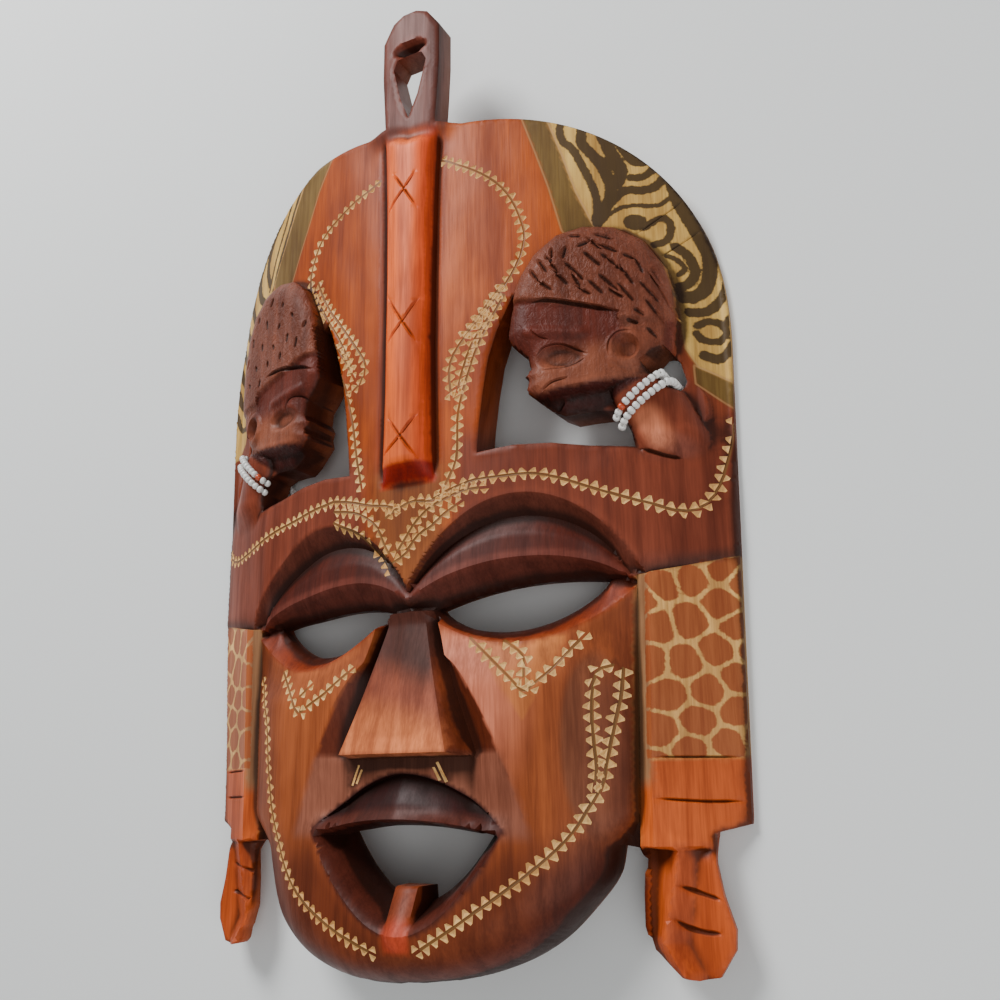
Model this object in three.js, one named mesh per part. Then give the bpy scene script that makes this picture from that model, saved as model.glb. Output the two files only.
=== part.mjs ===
// A carved wooden wall mask from East Africa with two profile heads and bead necklaces.
// It is drawn as it lies on its hollow back: x across the face, y up towards the hanging
// loop, z up from the table, in millimetres. The eyes are near y = -15 while it is drawn.
import * as THREE from 'three';

// Driving sizes of the carving
const crownHeight = 33; // front of the half-log above the table, on the centre line
const logRadius = 206.5; // radius of the half-log's front
const archHalfWidth = 111;
const archCentre = 70; // height on the face where the arch begins
const archRise = 99;
const archPower = 2.4;
const footHalfWidth = 105.5; // half width at the foot of the side panels
const panelFoot = -89;
const wallThickness = 13;
const archEdgeThickness = 9;
const thinnestEdge = 2.6;

const chin = { centre: -84, halfWidth: 68.5, drop: 54, power: 2.3, tilt: 0.09, edgeHeight: 13, backHeight: 8,
  rollStart: 0.66, rollPower: 2.4 };
const panel = { creaseTop: 77.8, creaseFoot: 74.4, creaseHeight: 16, bevel: 5.2, frontHeight: 19,
  edgeHeight: 3.2 };
const panelTop = { outer: -6.8, inner: -12 };
const loop = { shoulder: 216, top: 225.5, footHalf: 11.5, halfWidth: 13.2, front: 36, back: 25 };
const loopHole = { point: 176, wide: 201, top: 205, halfWidth: 7.6 };
const loopNotch = { level: 208.5, halfWidth: 9, halfHeight: 3.4, depth: 5 };
const strip = { foot: 26, top: 166, waist: 80, waistHalf: 10.2, endHalf: 12, proud: 5.6 };
const socket = { inner: -3, outer: 80.6, innerLevel: -17.6, outerLevel: -11.5, rise: 32.6, bow: 0.8 };
const lidCrease = { inner: -2, outer: 75, innerLevel: -17.2, outerLevel: -11, rise: 25.2, bow: 0.75 };
const lidEdge = { inner: -2, outer: 75, innerLevel: -18, outerLevel: -13, rise: 11.8, bow: 0.7 };
const eyeTop = { inner: 9, outer: 68.4, innerLevel: -18.4, outerLevel: -12.4, rise: 3.2, bow: 1 };
const eyeFoot = { inner: 9, outer: 68.4, innerLevel: -18.6, outerLevel: -12.6, rise: -11.9, bow: 0.8 };
const eyeRim = { inner: 6, outer: 78, innerLevel: -19.5, outerLevel: -15.6, rise: -14.8, bow: 1 };
const eyeDepths = { crease: -6, lid: -3, edge: -2, opening: -9.5, lowerOpening: -8 };
const nose = { top: -19, foot: -66.5, topHalf: 6.6, footHalf: 20.5, flankTop: 3, flankFoot: 5,
  bridgeHeight: 31, tipHeight: 41, keel: 0.6, valley: -5.6 };
const muzzle = { middle: -3, side: -5.5, reach: 24 };
const cheek = { swell: 4, from: -25, full: -48, ridgeTop: -35, ridgeFoot: -93, ridgeInner: 14,
  ridgeSpread: 32 };
const arm = { proud: 1.8, inner: 58, outer: 116, foot: -16, top: 38 }; // band above the panels
const mouth = { corner: 36.8, level: -90.5, lipRise: 17.6, lipPower: 1.8, lipStep: 2.4, bulge: 4,
  fall: 31.5, power: 1.9, under: 8 };
const mouthHole = { corner: 27.5, top: -91.5, fall: 21.5, lipEdge: -86.8, lipSag: 3.4 };
const tongue = { halfWidth: 4.8, tip: -107.5, front: -121.5, end: -126.5, tipHeight: 31, frontHeight: 38.5,
  crown: 0.06 };
// The left side is carved a little off
const leftLift = { heads: 13, from: 45, full: 109, eyes: 5, narrower: 4, pendant: 5.5 };

const clamp = (t) => Math.min(1, Math.max(0, t));
const mix = (a, b, t) => a + (b - a) * t;
const ease = (from, to, value) => {
  const t = clamp((value - from) / (to - from));
  return t * t * (3 - 2 * t);
};

// Height of an arched line of the eye above its chord, at a distance u from the centre line
function eyeLine(line, u) {
  const t = clamp((u - line.inner) / (line.outer - line.inner));
  return mix(line.innerLevel, line.outerLevel, t) + line.rise * Math.pow(4 * t * (1 - t), line.bow);
}

// Straight pieces through [place, height] pairs whose places run upwards
function profile(place, knots) {
  if (place <= knots[0][0]) return knots[0][1];
  for (let i = 1; i < knots.length; i++) {
    if (place <= knots[i][0]) {
      const span = Math.max(1e-6, knots[i][0] - knots[i - 1][0]);
      return mix(knots[i - 1][1], knots[i][1], (place - knots[i - 1][0]) / span);
    }
  }
  return knots[knots.length - 1][1];
}

// The left side: heads sit higher and the eye's outer corner lower than on the right
function liftAt(u, v) {
  const heads = leftLift.heads * ease(leftLift.from, leftLift.full, v) * (1 - ease(180, 200, v));
  const eyes = leftLift.eyes * ease(30, 5, v) * ease(-55, -30, v);
  return heads * clamp(u / 52) ** 0.75 - eyes * ease(10, 55, u);
}
const toLeft = (p) => {
  const beside = p.x > 88 ? ease(88, 104, p.x) * ease(10, -85, p.y) * leftLift.narrower : 0;
  const below = p.y < -90 ? ease(84, 75, p.x) * ease(66, 69, p.x) * leftLift.pendant : 0;
  return new THREE.Vector2(beside - below - p.x, p.y + liftAt(p.x, p.y));
};
function fromLeft(u, y) {
  let v = y;
  for (let i = 0; i < 8; i++) v = y - liftAt(u, v);
  return v;
}

const logHeight = (u) => crownHeight - logRadius + Math.sqrt(logRadius ** 2 - Math.min(u, 118) ** 2);
const creaseAt = (v) => mix(panel.creaseFoot, panel.creaseTop, clamp((v + 95) / 82));
const panelTopAt = (u) => mix(panelTop.inner, panelTop.outer, clamp((u - 82) / 27));
const stripHalf = (v) => strip.waistHalf + (strip.endHalf - strip.waistHalf) * ((v - strip.waist) / 80) ** 2;
const alongNose = (v) => clamp((nose.top - v) / (nose.top - nose.foot));
const noseHalf = (v) => mix(nose.topHalf, nose.footHalf, alongNose(v) ** 1.15);
const noseFlank = (v) => noseHalf(v) + mix(nose.flankTop, nose.flankFoot, alongNose(v));
const cheekRidge = (v) => {
  const t = clamp((cheek.ridgeTop - v) / (cheek.ridgeTop - cheek.ridgeFoot));
  const besideNose = noseFlank(v) + 1.8;
  const spread = cheek.ridgeInner + cheek.ridgeSpread * t ** 0.6;
  return v > cheek.ridgeTop ? besideNose : Math.max(besideNose, spread);
};
const lipTop = (u) => mouth.level + mouth.lipRise * (1 - clamp(u / mouth.corner) ** mouth.lipPower);
const lipEdge = (u) => mouthHole.lipEdge - mouthHole.lipSag * (u / 30) ** 2;
const mouthFoot = (u) => mouth.level - mouth.fall * (1 - clamp(u / mouth.corner) ** mouth.power);
const mouthHoleFoot = (u) =>
  mouthHole.top - mouthHole.fall * (1 - clamp(u / mouthHole.corner) ** mouth.power);

// Profile head, seen from the side, in the right-hand opening
const faceLine = [[43.6, 89], [41.7, 80], [40.6, 72.4], [43.2, 68.6], [47.6, 64.6], [48.3, 60.4],
  [46.4, 57.8], [47.6, 55.4], [46.6, 52.2], [50, 49.2], [54.2, 45.6], [58.2, 43.6], [64, 44.2], [70, 44.6]];
const skullLine = [[90.5, 57.5], [94, 64], [95.6, 75], [95.6, 85], [93.2, 95.5], [87, 105.8], [78, 111.2],
  [68, 112.4], [59, 110], [51, 103.4], [46.4, 96], [43.6, 89]];
const head = { proud: 7.5, rim: 9, hairProud: 1.4, hairInner: [48, 84.5], hairOuter: [79, 77.5],
  hairline: 1.6, hairBehind: 74, ear: [81.2, 64.2], earHalfWidth: 5.6, earHalfHeight: 6.2, earRim: 1.2,
  earCup: 3.4,
  eye: [60, 62.5], eyeHalfWidth: 8.5, eyeHalfHeight: 4.4, eyeDepth: 2.4, browInner: [50, 72.6],
  browOuter: [67, 70.6], browProud: 1.1, jawInner: [50, 50.5], jawOuter: [86, 55], jawDrop: 4.5 };
const neck = { top: [83.5, 52], middle: [88.5, 44], foot: [92, 33], half: 10.5, proud: 5.5, back: 5,
  reach: 16 };
const beads = { centre: [84.6, 47], across: [0.75, 0.66], apart: 3.6, radius: 1.5, waist: 0.75, pitch: 2.3,
  clear: 0.3, sides: 5 };
const openingEdge = [[27, 34], [28, 45], [29.6, 57], [31.7, 69], [35, 79], [39, 87.4], [41, 91]];
const openingFoot = [[80, 31], [66, 32.4], [53, 34.6], [40, 35.2], [27, 34]];
const openingNeck = [[70, 44.6], [75.6, 43.6], [78.6, 38], [80, 31]];
const napeGap = [[84.6, 59.6], [86.4, 55.6], [89, 54.6], [91.6, 50.8], [95, 49.8], [96.6, 54], [95, 61],
  [91.6, 65.6]];
const pendant = [[95.6, -91.4], [95.8, -100], [97.4, -109], [100.3, -118], [99.8, -123.6], [94.8, -131],
  [89, -132], [84.4, -131.2], [75.6, -124.6], [73.6, -118], [73.8, -109], [74.6, -99], [73, -95.6],
  [67.6, -94.8]];
const pendantRidge = [[-131, 86], [-122, 79.4], [-117, 81], [-106, 83.4], [-97, 85.4]];
const pendantHeights = { inner: 8.5, ridge: 14.5, outer: 4.2 };
const loopOutline = [[loop.halfWidth, loop.shoulder - 16], [loop.halfWidth, loop.shoulder], [8, 223.4],
  [3, loop.top]];

const asVectors = (pairs) => pairs.map(([x, y]) => new THREE.Vector2(x, y));
const distanceTo = (x, y, [ax, ay], [bx, by]) => {
  const t = clamp(((x - ax) * (bx - ax) + (y - ay) * (by - ay)) / ((bx - ax) ** 2 + (by - ay) ** 2));
  return Math.hypot(x - ax - t * (bx - ax), y - ay - t * (by - ay));
};
const distanceToLine = (x, y, pairs) => {
  const gaps = pairs.slice(1).map((end, i) => distanceTo(x, y, pairs[i], end));
  return Math.min(...gaps);
};
const isInside = (x, y, ring) => {
  let inside = false;
  for (let i = 0, j = ring.length - 1; i < ring.length; j = i++) {
    const [ax, ay] = ring[i];
    const [bx, by] = ring[j];
    if ((ay > y) !== (by > y) && x < ((bx - ax) * (y - ay)) / (by - ay) + ax) inside = !inside;
  }
  return inside;
};
const headRing = [...faceLine, ...skullLine.slice(0, -1)];
const sideOf = (x, y, [ax, ay], [bx, by]) =>
  ((bx - ax) * (y - ay) - (by - ay) * (x - ax)) / Math.hypot(bx - ax, by - ay);
const ovalSpan = (dx, dy, halfWidth, halfHeight) => Math.hypot(dx / halfWidth, dy / halfHeight);

// How far the profile head and its neck stand above the half-log; y is the level of its features
function headRelief(u, v, y) {
  let relief = 0;
  if (isInside(u, v, headRing)) {
    const inset = clamp(distanceToLine(u, v, [...headRing, headRing[0]]) / head.rim);
    relief = head.proud * Math.sqrt(1 - (1 - inset) ** 2 * 0.8);
    const aboveHairline = sideOf(u, y, head.hairInner, head.hairOuter);
    relief += head.hairProud * ease(-1, 1.5, u > head.hairOuter[0] ? y - head.hairBehind : aboveHairline);
    relief -= head.hairline * (1 - ease(0, 1.6, distanceTo(u, y, head.hairInner, head.hairOuter)));
    const eyeSpan = ovalSpan(u - head.eye[0], y - head.eye[1], head.eyeHalfWidth, head.eyeHalfHeight);
    relief -= head.eyeDepth * (1 - ease(0.5, 1.1, eyeSpan));
    relief += head.browProud * (1 - ease(0, 3.2, distanceTo(u, y, head.browInner, head.browOuter)));
    const earSpan = ovalSpan(u - head.ear[0], y - head.ear[1], head.earHalfWidth, head.earHalfHeight);
    relief += head.earRim * (1 - ease(0.9, 1.25, earSpan)) - head.earCup * (1 - ease(0.35, 0.8, earSpan));
    relief -= head.jawDrop * ease(0, -3.5, sideOf(u, v, head.jawInner, head.jawOuter));
  }
  const offNeck = distanceTo(u, v, neck.top, neck.foot);
  const neckRelief = neck.proud * Math.sqrt(Math.max(0, 1 - (offNeck / neck.half) ** 2));
  return Math.max(relief, neckRelief * ease(24, 36, v));
}

// Eye socket, upper lid with its ridge, and the bevel below the opening
function eyeRelief(u, v) {
  const span = clamp((u - socket.inner) / (socket.outer - socket.inner));
  const depth = Math.pow(4 * span * (1 - span), 0.4);
  const brow = eyeLine(socket, u);
  if (v >= brow || depth === 0) return 0;
  const crease = Math.min(eyeLine(lidCrease, u), brow - 0.5);
  const edge = Math.min(eyeLine(lidEdge, u), crease - 0.5);
  const upper = Math.min(eyeLine(eyeTop, u), edge - 0.5);
  const lower = Math.min(eyeLine(eyeFoot, u), upper - 0.1);
  const rim = Math.min(eyeLine(eyeRim, u), lower - 0.3);
  return depth * profile(v, [[rim, 0], [lower, eyeDepths.lowerOpening], [upper, eyeDepths.opening],
    [edge, eyeDepths.edge], [mix(edge, crease, 0.55), eyeDepths.lid], [crease, eyeDepths.crease], [brow, 0]]);
}

// How far out a point lies on the chin, from 0 in the middle to 1 on its outline
function chinReach(x, v) {
  const level = v - chin.tilt * x * ease(-98, -122, v);
  const below = clamp((chin.centre - level) / chin.drop);
  return ((Math.abs(x) / chin.halfWidth) ** chin.power + below ** chin.power) ** (1 / chin.power);
}

// Height of the cheeks and chin before nose and mouth are cut
function faceHeight(x, v) {
  const u = Math.abs(x);
  const swell = cheek.swell * ease(cheek.from, cheek.full, v);
  const top = logHeight(u) + swell;
  const reach = chinReach(x, v);
  const atChin = ease(-84, -98, v);
  const edgeReach = mix(creaseAt(v) / chin.halfWidth, 1, atChin);
  const roll = clamp((reach / edgeReach - chin.rollStart) / (1 - chin.rollStart));
  const drop = 1 - (1 - roll ** chin.rollPower) ** (1 / chin.rollPower);
  const edge = mix(panel.creaseHeight, chin.edgeHeight, atChin);
  return mix(top, Math.min(top, edge), drop * ease(-8, -22, v));
}

// Nose and muzzle above or below the cheeks
function noseRelief(u, v, face) {
  const ridge = cheekRidge(v);
  if (v > nose.top || v < cheek.ridgeFoot || u > ridge) return 0;
  const fade = ease(nose.top, nose.top - 5, v) * ease(cheek.ridgeFoot, cheek.ridgeFoot + 10, v);
  const below = profile(u, [[0, muzzle.middle], [Math.min(muzzle.reach, ridge - 6), muzzle.side],
    [ridge, 0]]);
  if (v < nose.foot - 1.4) return below * fade;
  const bridge = mix(nose.bridgeHeight, nose.tipHeight, alongNose(v) ** 1.1) - face;
  const nosed = profile(u, [[0, bridge + nose.keel], [noseHalf(v), bridge], [noseFlank(v), nose.valley],
    [ridge, 0]]);
  return mix(below, nosed, ease(nose.foot - 1.4, nose.foot, v)) * fade;
}

// Lips, the sloping lower walls of the open mouth and the tongue that lies over them
function mouthHeight(x, v, height, floor) {
  const u = Math.abs(x);
  let level = height;
  if (u < mouth.corner && v < lipTop(u) && v > mouthFoot(u)) {
    const top = lipTop(u);
    const edge = Math.min(lipEdge(u), top - 0.4);
    const side = 1 - (u / mouth.corner) ** 4;
    if (v > edge) {
      const bulge = mouth.bulge * (1 - (u / mouth.corner) ** 2);
      level += side * profile(v, [[edge, bulge], [mix(edge, top, 0.35), bulge * 0.7], [top, -mouth.lipStep]]);
    } else if (v > mouthHole.top) {
      level = mix(height - mouth.under, level + mouth.bulge * side, ease(edge - 2.5, edge, v) * side);
    } else {
      const outer = mouthFoot(u);
      const inner = u < mouthHole.corner ? mouthHoleFoot(u) : mouthHole.top;
      const slope = ease(0, 1, clamp((inner - v) / Math.max(0.5, inner - outer))) ** 0.8;
      level = mix(floor + 3, height + 0.6, slope);
    }
    if (u > mouthHole.corner) level = mix(level, height, ease(mouthHole.corner, mouth.corner, u));
  }
  if (u < tongue.halfWidth + 0.6 && v < tongue.tip + 1 && v > tongue.end) {
    const peg = profile(v, [[tongue.end, height], [tongue.front, tongue.frontHeight],
      [tongue.tip, tongue.tipHeight]]);
    const side = ease(tongue.halfWidth + 0.6, tongue.halfWidth - 0.6, u);
    level = Math.max(level, mix(level, peg - tongue.crown * u * u, side));
  }
  return level;
}

function stripRelief(x, v) {
  const half = stripHalf(v);
  const ends = clamp((v - strip.foot) / 7.5) * ease(strip.top + 3, strip.top - 4, v);
  const shape = [[0, 1], [half * 0.6, 0.9], [half - 1.8, 0.6], [half, -0.26], [half + 2.6, 0]];
  return strip.proud * profile(Math.abs(x), shape) * ends;
}

// Back of the carving: a flat rim on the table and a hollow behind the face
function backHeight(x, y) {
  const u = Math.abs(x);
  const v = x < 0 ? fromLeft(u, y) : y;
  const above = Math.max(0, v - archCentre) / archRise;
  const archReach = (u / archHalfWidth) ** archPower + above ** archPower;
  const thickness = mix(wallThickness, archEdgeThickness, ease(0.55, 0.95, archReach));
  const hollow = logHeight(u) - thickness;
  const behindNeck = neck.back * ease(neck.reach, neck.reach - 2, distanceTo(u, v, neck.top, neck.middle));
  const chinRim = ease(0.7, 0.93, chinReach(x, v)) * ease(-86, -100, v);
  const shell = Math.max(0, mix(Math.max(0, hollow), chin.backHeight, chinRim), behindNeck);
  return mix(shell, loop.back, ease(160, 174, v) * ease(30, 16, u));
}

// Front of the carving at any point of its plan
function frontHeight(x, y) {
  const u = Math.abs(x);
  const v = x < 0 ? fromLeft(u, y) : y;
  const floor = backHeight(x, y);
  const crease = creaseAt(v);
  let height;
  if (v < panelTopAt(u) && u > crease) {
    const edge = mix(footHalfWidth, archHalfWidth, clamp((v - panelFoot) / 159));
    const slab = profile(u, [[crease, panel.creaseHeight], [crease + panel.bevel, panel.frontHeight],
      [edge, panel.edgeHeight]]);
    const ridge = profile(v, pendantRidge);
    const drop = profile(u, [[74, pendantHeights.inner], [ridge, pendantHeights.ridge],
      [99, pendantHeights.outer]]);
    height = mix(drop, slab, ease(-96.4, -95, v));
  } else {
    height = faceHeight(x, v);
    height += noseRelief(u, v, height);
    height += eyeRelief(u, v);
    height = mouthHeight(x, v, height, floor);
    const atArm = ease(arm.inner, arm.inner + 18, u) * ease(arm.outer, arm.outer - 12, u);
    height += arm.proud * atArm * ease(arm.foot, arm.foot + 12, v) * ease(arm.top, arm.top - 16, v);
    height += headRelief(u, v, y) + stripRelief(x, v);
  }
  const notch = Math.hypot(x / loopNotch.halfWidth, (v - loopNotch.level) / loopNotch.halfHeight);
  const face = loop.front - 0.008 * x * x - loopNotch.depth * (1 - ease(0.3, 1, notch));
  height = mix(height, face, ease(160, 172, v) * ease(24, 13, u));
  return Math.max(height, floor + thinnestEdge);
}

// Plan outlines, given for the right side and mirrored
const archLine = (from, to, count) => Array.from({ length: count }, (_, i) => {
  const angle = mix(from, to, i / (count - 1));
  const reach = 2 / archPower;
  return new THREE.Vector2(
    archHalfWidth * Math.cos(angle) ** reach, archCentre + archRise * Math.sin(angle) ** reach);
});
const chinLine = (from, to, count) => Array.from({ length: count }, (_, i) => {
  const angle = mix(from, to, i / (count - 1));
  const reach = 2 / chin.power;
  return new THREE.Vector2(
    chin.halfWidth * Math.cos(angle) ** reach, chin.centre - chin.drop * Math.sin(angle) ** reach);
});

// Even steps along a chain of points
function stepAlong(points, step) {
  const out = [];
  for (let i = 1; i < points.length; i++) {
    const length = points[i].distanceTo(points[i - 1]);
    const count = Math.max(1, Math.round(length / step));
    for (let k = 0; k < count; k++) out.push(points[i - 1].clone().lerp(points[i], k / count));
  }
  return out;
}

const rightSide = stepAlong([
  new THREE.Vector2(0, loop.top),
  ...asVectors([...loopOutline].reverse()),
  new THREE.Vector2(12.4, 184),
  new THREE.Vector2(loop.footHalf, 171),
  ...archLine(Math.PI * 0.455, 0, 30),
  new THREE.Vector2(footHalfWidth, panelFoot),
  ...asVectors(pendant),
  ...chinLine(0.3, Math.PI / 2, 18),
], 7);
const chinSkew = (p) => {
  const onChin = Math.abs(p.x) < chin.halfWidth + 1;
  return new THREE.Vector2(p.x, p.y + (onChin ? chin.tilt * p.x * ease(-98, -122, p.y) : 0));
};
const ring = [
  ...rightSide.slice(1).reverse(),
  new THREE.Vector2(0, loop.top),
  ...rightSide.slice(1).map(toLeft),
  new THREE.Vector2(0, chin.centre - chin.drop),
].map(chinSkew);

const eyeHole = () => {
  const steps = 13;
  const along = Array.from({ length: steps }, (_, i) =>
    mix(eyeTop.inner, eyeTop.outer, 0.5 - 0.5 * Math.cos((Math.PI * i) / steps)));
  const upper = along.map((u) => new THREE.Vector2(u, eyeLine(eyeTop, u)));
  const lower = along.slice(1).map((u) => new THREE.Vector2(u, eyeLine(eyeFoot, u)));
  return [...upper, new THREE.Vector2(eyeTop.outer, eyeTop.outerLevel), ...lower.reverse()];
};
const mouthRing = () => {
  const steps = 9;
  const right = Array.from({ length: steps }, (_, i) => {
    const u = mix(mouthHole.corner, tongue.halfWidth + 1, i / (steps - 1));
    return new THREE.Vector2(u, mouthHoleFoot(u));
  });
  const peg = asVectors([[tongue.halfWidth + 0.6, tongue.tip], [-tongue.halfWidth - 0.6, tongue.tip]]);
  const left = [...right].reverse().map((p) => new THREE.Vector2(-p.x, p.y));
  const top = Array.from({ length: 7 }, (_, i) => {
    const x = mix(-20, 20, i / 6);
    return new THREE.Vector2(x, Math.max(lipEdge(Math.abs(x)) - 2.2, mouthHole.top + 0.3));
  });
  return [...right, ...peg, ...left, ...top];
};
const openingRing = () => [
  ...stepAlong(asVectors(openingEdge), 5),
  ...stepAlong(asVectors([openingEdge[6], ...faceLine]), 4.5),
  ...stepAlong(asVectors(openingNeck), 5),
  ...stepAlong(asVectors(openingFoot), 8),
];
const loopRing = asVectors([[0, loopHole.point], [-4, loopHole.point + 10],
  [-loopHole.halfWidth, loopHole.wide],
  [-loopHole.halfWidth + 2, loopHole.top], [loopHole.halfWidth - 2, loopHole.top],
  [loopHole.halfWidth, loopHole.wide], [4, loopHole.point + 10]]);
const rightHoles = [eyeHole(), openingRing(), stepAlong(asVectors([...napeGap, napeGap[0]]), 5)];
const holes = [...rightHoles, ...rightHoles.map((hole) => hole.map(toLeft)), mouthRing(), loopRing];

// Lines where the carving turns sharply, so that the faces meet on them
const sample = (line, count) => Array.from({ length: count }, (_, i) => line(i / (count - 1)));
const across = (from, to, level, count) =>
  sample((t) => [mix(from, to, t), level(mix(from, to, t))], count);
const down = (from, to, place, count) => sample((t) => [place(mix(from, to, t)), mix(from, to, t)], count);
const offset = (pairs, by) => pairs.map(([x, y], i) => {
  const [ax, ay] = pairs[Math.max(0, i - 1)];
  const [bx, by2] = pairs[Math.min(pairs.length - 1, i + 1)];
  const length = Math.hypot(bx - ax, by2 - ay);
  return [x - (by * (by2 - ay)) / length, y + (by * (bx - ax)) / length];
});
const spaced = (pairs, step) => stepAlong(asVectors(pairs), step).map((p) => [p.x, p.y]);
const skull = spaced(skullLine, 5);
const sideLines = [
  across(2, 80, (u) => eyeLine(socket, u), 20),
  across(3, 74, (u) => eyeLine(lidCrease, u), 16),
  across(6, 73, (u) => eyeLine(lidEdge, u), 15),
  across(9, 76, (u) => eyeLine(eyeRim, u), 15),
  down(-21, -92, cheekRidge, 16),
  down(-21, nose.foot, noseHalf, 9),
  down(-21, nose.foot, noseFlank, 9),
  across(2.5, noseFlank(nose.foot), () => nose.foot, 9),
  across(2.5, noseFlank(nose.foot), () => nose.foot - 1.5, 9),
  across(2, 35, (u) => lipTop(u) + 0.3, 11),
  across(2, 35, (u) => lipTop(u) - 0.5, 11),
  across(2, 26, lipEdge, 8),
  across(6, 36, mouthFoot, 10),
  down(panelTop.inner - 1, -95, (v) => creaseAt(v) - 0.3, 13),
  down(panelTop.inner - 1, -95, (v) => creaseAt(v) + panel.bevel, 13),
  across(79, 107, (u) => panelTopAt(u) + 0.5, 6),
  across(79, 107, (u) => panelTopAt(u) - 0.5, 6),
  pendantRidge.map(([v, u]) => [u, v]),
  across(74, 94, () => -94.8, 6),
  across(73, 94, () => -96.6, 6),
  offset(skull, 0.6),
  offset(skull, -0.6),
  spaced([head.jawInner, head.jawOuter], 5),
  offset(spaced([head.jawInner, head.jawOuter], 5), -3),
];
const hairline = spaced([head.hairInner, head.hairOuter], 6);
const roundEar = (reach, count) => sample((t) => [
  head.ear[0] + reach * head.earHalfWidth * Math.cos(6.3 * t),
  head.ear[1] + reach * head.earHalfHeight * Math.sin(6.3 * t)], count);
const featureLines = [
  hairline,
  offset(hairline, 2),
  offset(hairline, -2),
  roundEar(0.6, 7),
  roundEar(1, 8),
  roundEar(1.3, 9),
  [head.ear, head.eye, [head.eye[0] - 6, head.eye[1]], [head.eye[0] + 6, head.eye[1]],
    [head.eye[0] - 3, head.eye[1] + 3.6], [head.eye[0] - 3, head.eye[1] - 3.6],
    [head.eye[0] + 3, head.eye[1] + 3.6], [head.eye[0] + 3, head.eye[1] - 3.6]],
];
const stripSides = down(strip.foot, strip.top - 6, stripHalf, 26);
const middleLines = [
  stripSides,
  stripSides.map(([x, y]) => [x - 1.8, y]),
  stripSides.filter((p, i) => i % 2).map(([x, y]) => [x * 0.5, y]),
  stripSides.map(([x, y]) => [x + 2.6, y]),
  across(2, 10, () => strip.foot + 7.5, 4),
  across(2, 11, () => strip.foot, 4),
  down(tongue.tip - 1, tongue.end, () => tongue.halfWidth - 0.6, 5),
  down(-110.5, tongue.end, () => tongue.halfWidth + 1, 5),
  [[1.5, tongue.front], [1.5, tongue.end], [1.5, -113], [0.2, nose.foot], [0.2, nose.foot - 1.5]],
  [[9, 208.5], [6, 211.4], [1.5, 212], [2, 208.6], [5, 208.6]],
];

const nudges = asVectors([[0.031, 0.017], [-0.023, 0.029]]);

// Constrained Delaunay triangles: the plan is cut into ears first, then takes one point at a time
class Plan {
  constructor(contour, inner) {
    this.points = [...contour, ...inner.flat()];
    this.faces = THREE.ShapeUtils.triangulateShape(contour, inner);
    this.across = new Map();
    this.faces.forEach((face, index) => this.link(index));
    this.settle(this.faces.flatMap(([a, b, c]) => [[a, b], [b, c], [c, a]]));
  }

  link(index) {
    const [a, b, c] = this.faces[index];
    this.across.set(`${a},${b}`, index);
    this.across.set(`${b},${c}`, index);
    this.across.set(`${c},${a}`, index);
  }

  area(a, b, c) {
    const [p, q, r] = [this.points[a], this.points[b], this.points[c]];
    return (q.x - p.x) * (r.y - p.y) - (q.y - p.y) * (r.x - p.x);
  }

  isInCircle(a, b, c, d) {
    const origin = this.points[d];
    const [p, q, r] = [a, b, c].map((i) => this.points[i].clone().sub(origin));
    const [pp, qq, rr] = [p.lengthSq(), q.lengthSq(), r.lengthSq()];
    return p.x * (q.y * rr - qq * r.y) - p.y * (q.x * rr - qq * r.x) + pp * (q.x * r.y - q.y * r.x) > 1e-7;
  }

  settle(edges) {
    while (edges.length) {
      const [a, b] = edges.pop();
      const here = this.across.get(`${a},${b}`);
      const there = this.across.get(`${b},${a}`);
      if (here === undefined || there === undefined) continue;
      const c = this.faces[here].find((i) => i !== a && i !== b);
      const d = this.faces[there].find((i) => i !== a && i !== b);
      if (!this.isInCircle(a, b, c, d) || this.area(a, d, c) <= 1e-9 || this.area(d, b, c) <= 1e-9) continue;
      this.across.delete(`${a},${b}`);
      this.across.delete(`${b},${a}`);
      this.faces[here] = [a, d, c];
      this.faces[there] = [d, b, c];
      this.link(here);
      this.link(there);
      edges.push([a, d], [d, b], [b, c], [c, a]);
    }
  }

  // A point on an edge is nudged off it
  insert(point) {
    const d = this.points.push(point.clone()) - 1;
    const holdsPoint = ([a, b, c]) =>
      this.area(a, b, d) > 1e-4 && this.area(b, c, d) > 1e-4 && this.area(c, a, d) > 1e-4;
    let index = this.faces.findIndex(holdsPoint);
    for (let k = 0; index < 0 && k < nudges.length; k++) {
      this.points[d] = point.clone().add(nudges[k]);
      index = this.faces.findIndex(holdsPoint);
    }
    if (index < 0) {
      this.points.pop();
      return;
    }
    const [a, b, c] = this.faces[index];
    this.faces[index] = [a, b, d];
    const next = this.faces.push([b, c, d]) - 1;
    const last = this.faces.push([c, a, d]) - 1;
    [index, next, last].forEach((i) => this.link(i));
    this.settle([[a, b], [b, c], [c, a]]);
  }
}

const nearestGap = (points, p) =>
  points.reduce((gap, q) => Math.min(gap, p.distanceToSquared(q)), Infinity) ** 0.5;

function fillPlan(seeds, seedGap, spacing, edgeGap) {
  const plan = new Plan(ring, holes);
  const rim = [...plan.points];
  const placed = [];
  const place = (p, gap) => {
    if (nearestGap(rim, p) > edgeGap && nearestGap(placed, p) > gap) {
      placed.push(p);
      plan.insert(p);
    }
  };
  seeds.forEach((p) => place(p, seedGap));
  const rowStep = spacing * Math.sqrt(0.75);
  for (let row = 0, y = chin.centre - chin.drop; y < loop.top; y += rowStep, row++) {
    for (let x = -archHalfWidth + (row % 2) * spacing * 0.5; x < archHalfWidth; x += spacing) {
      place(new THREE.Vector2(x + 0.013, y + 0.017), spacing * 0.62);
    }
  }
  return plan;
}

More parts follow.
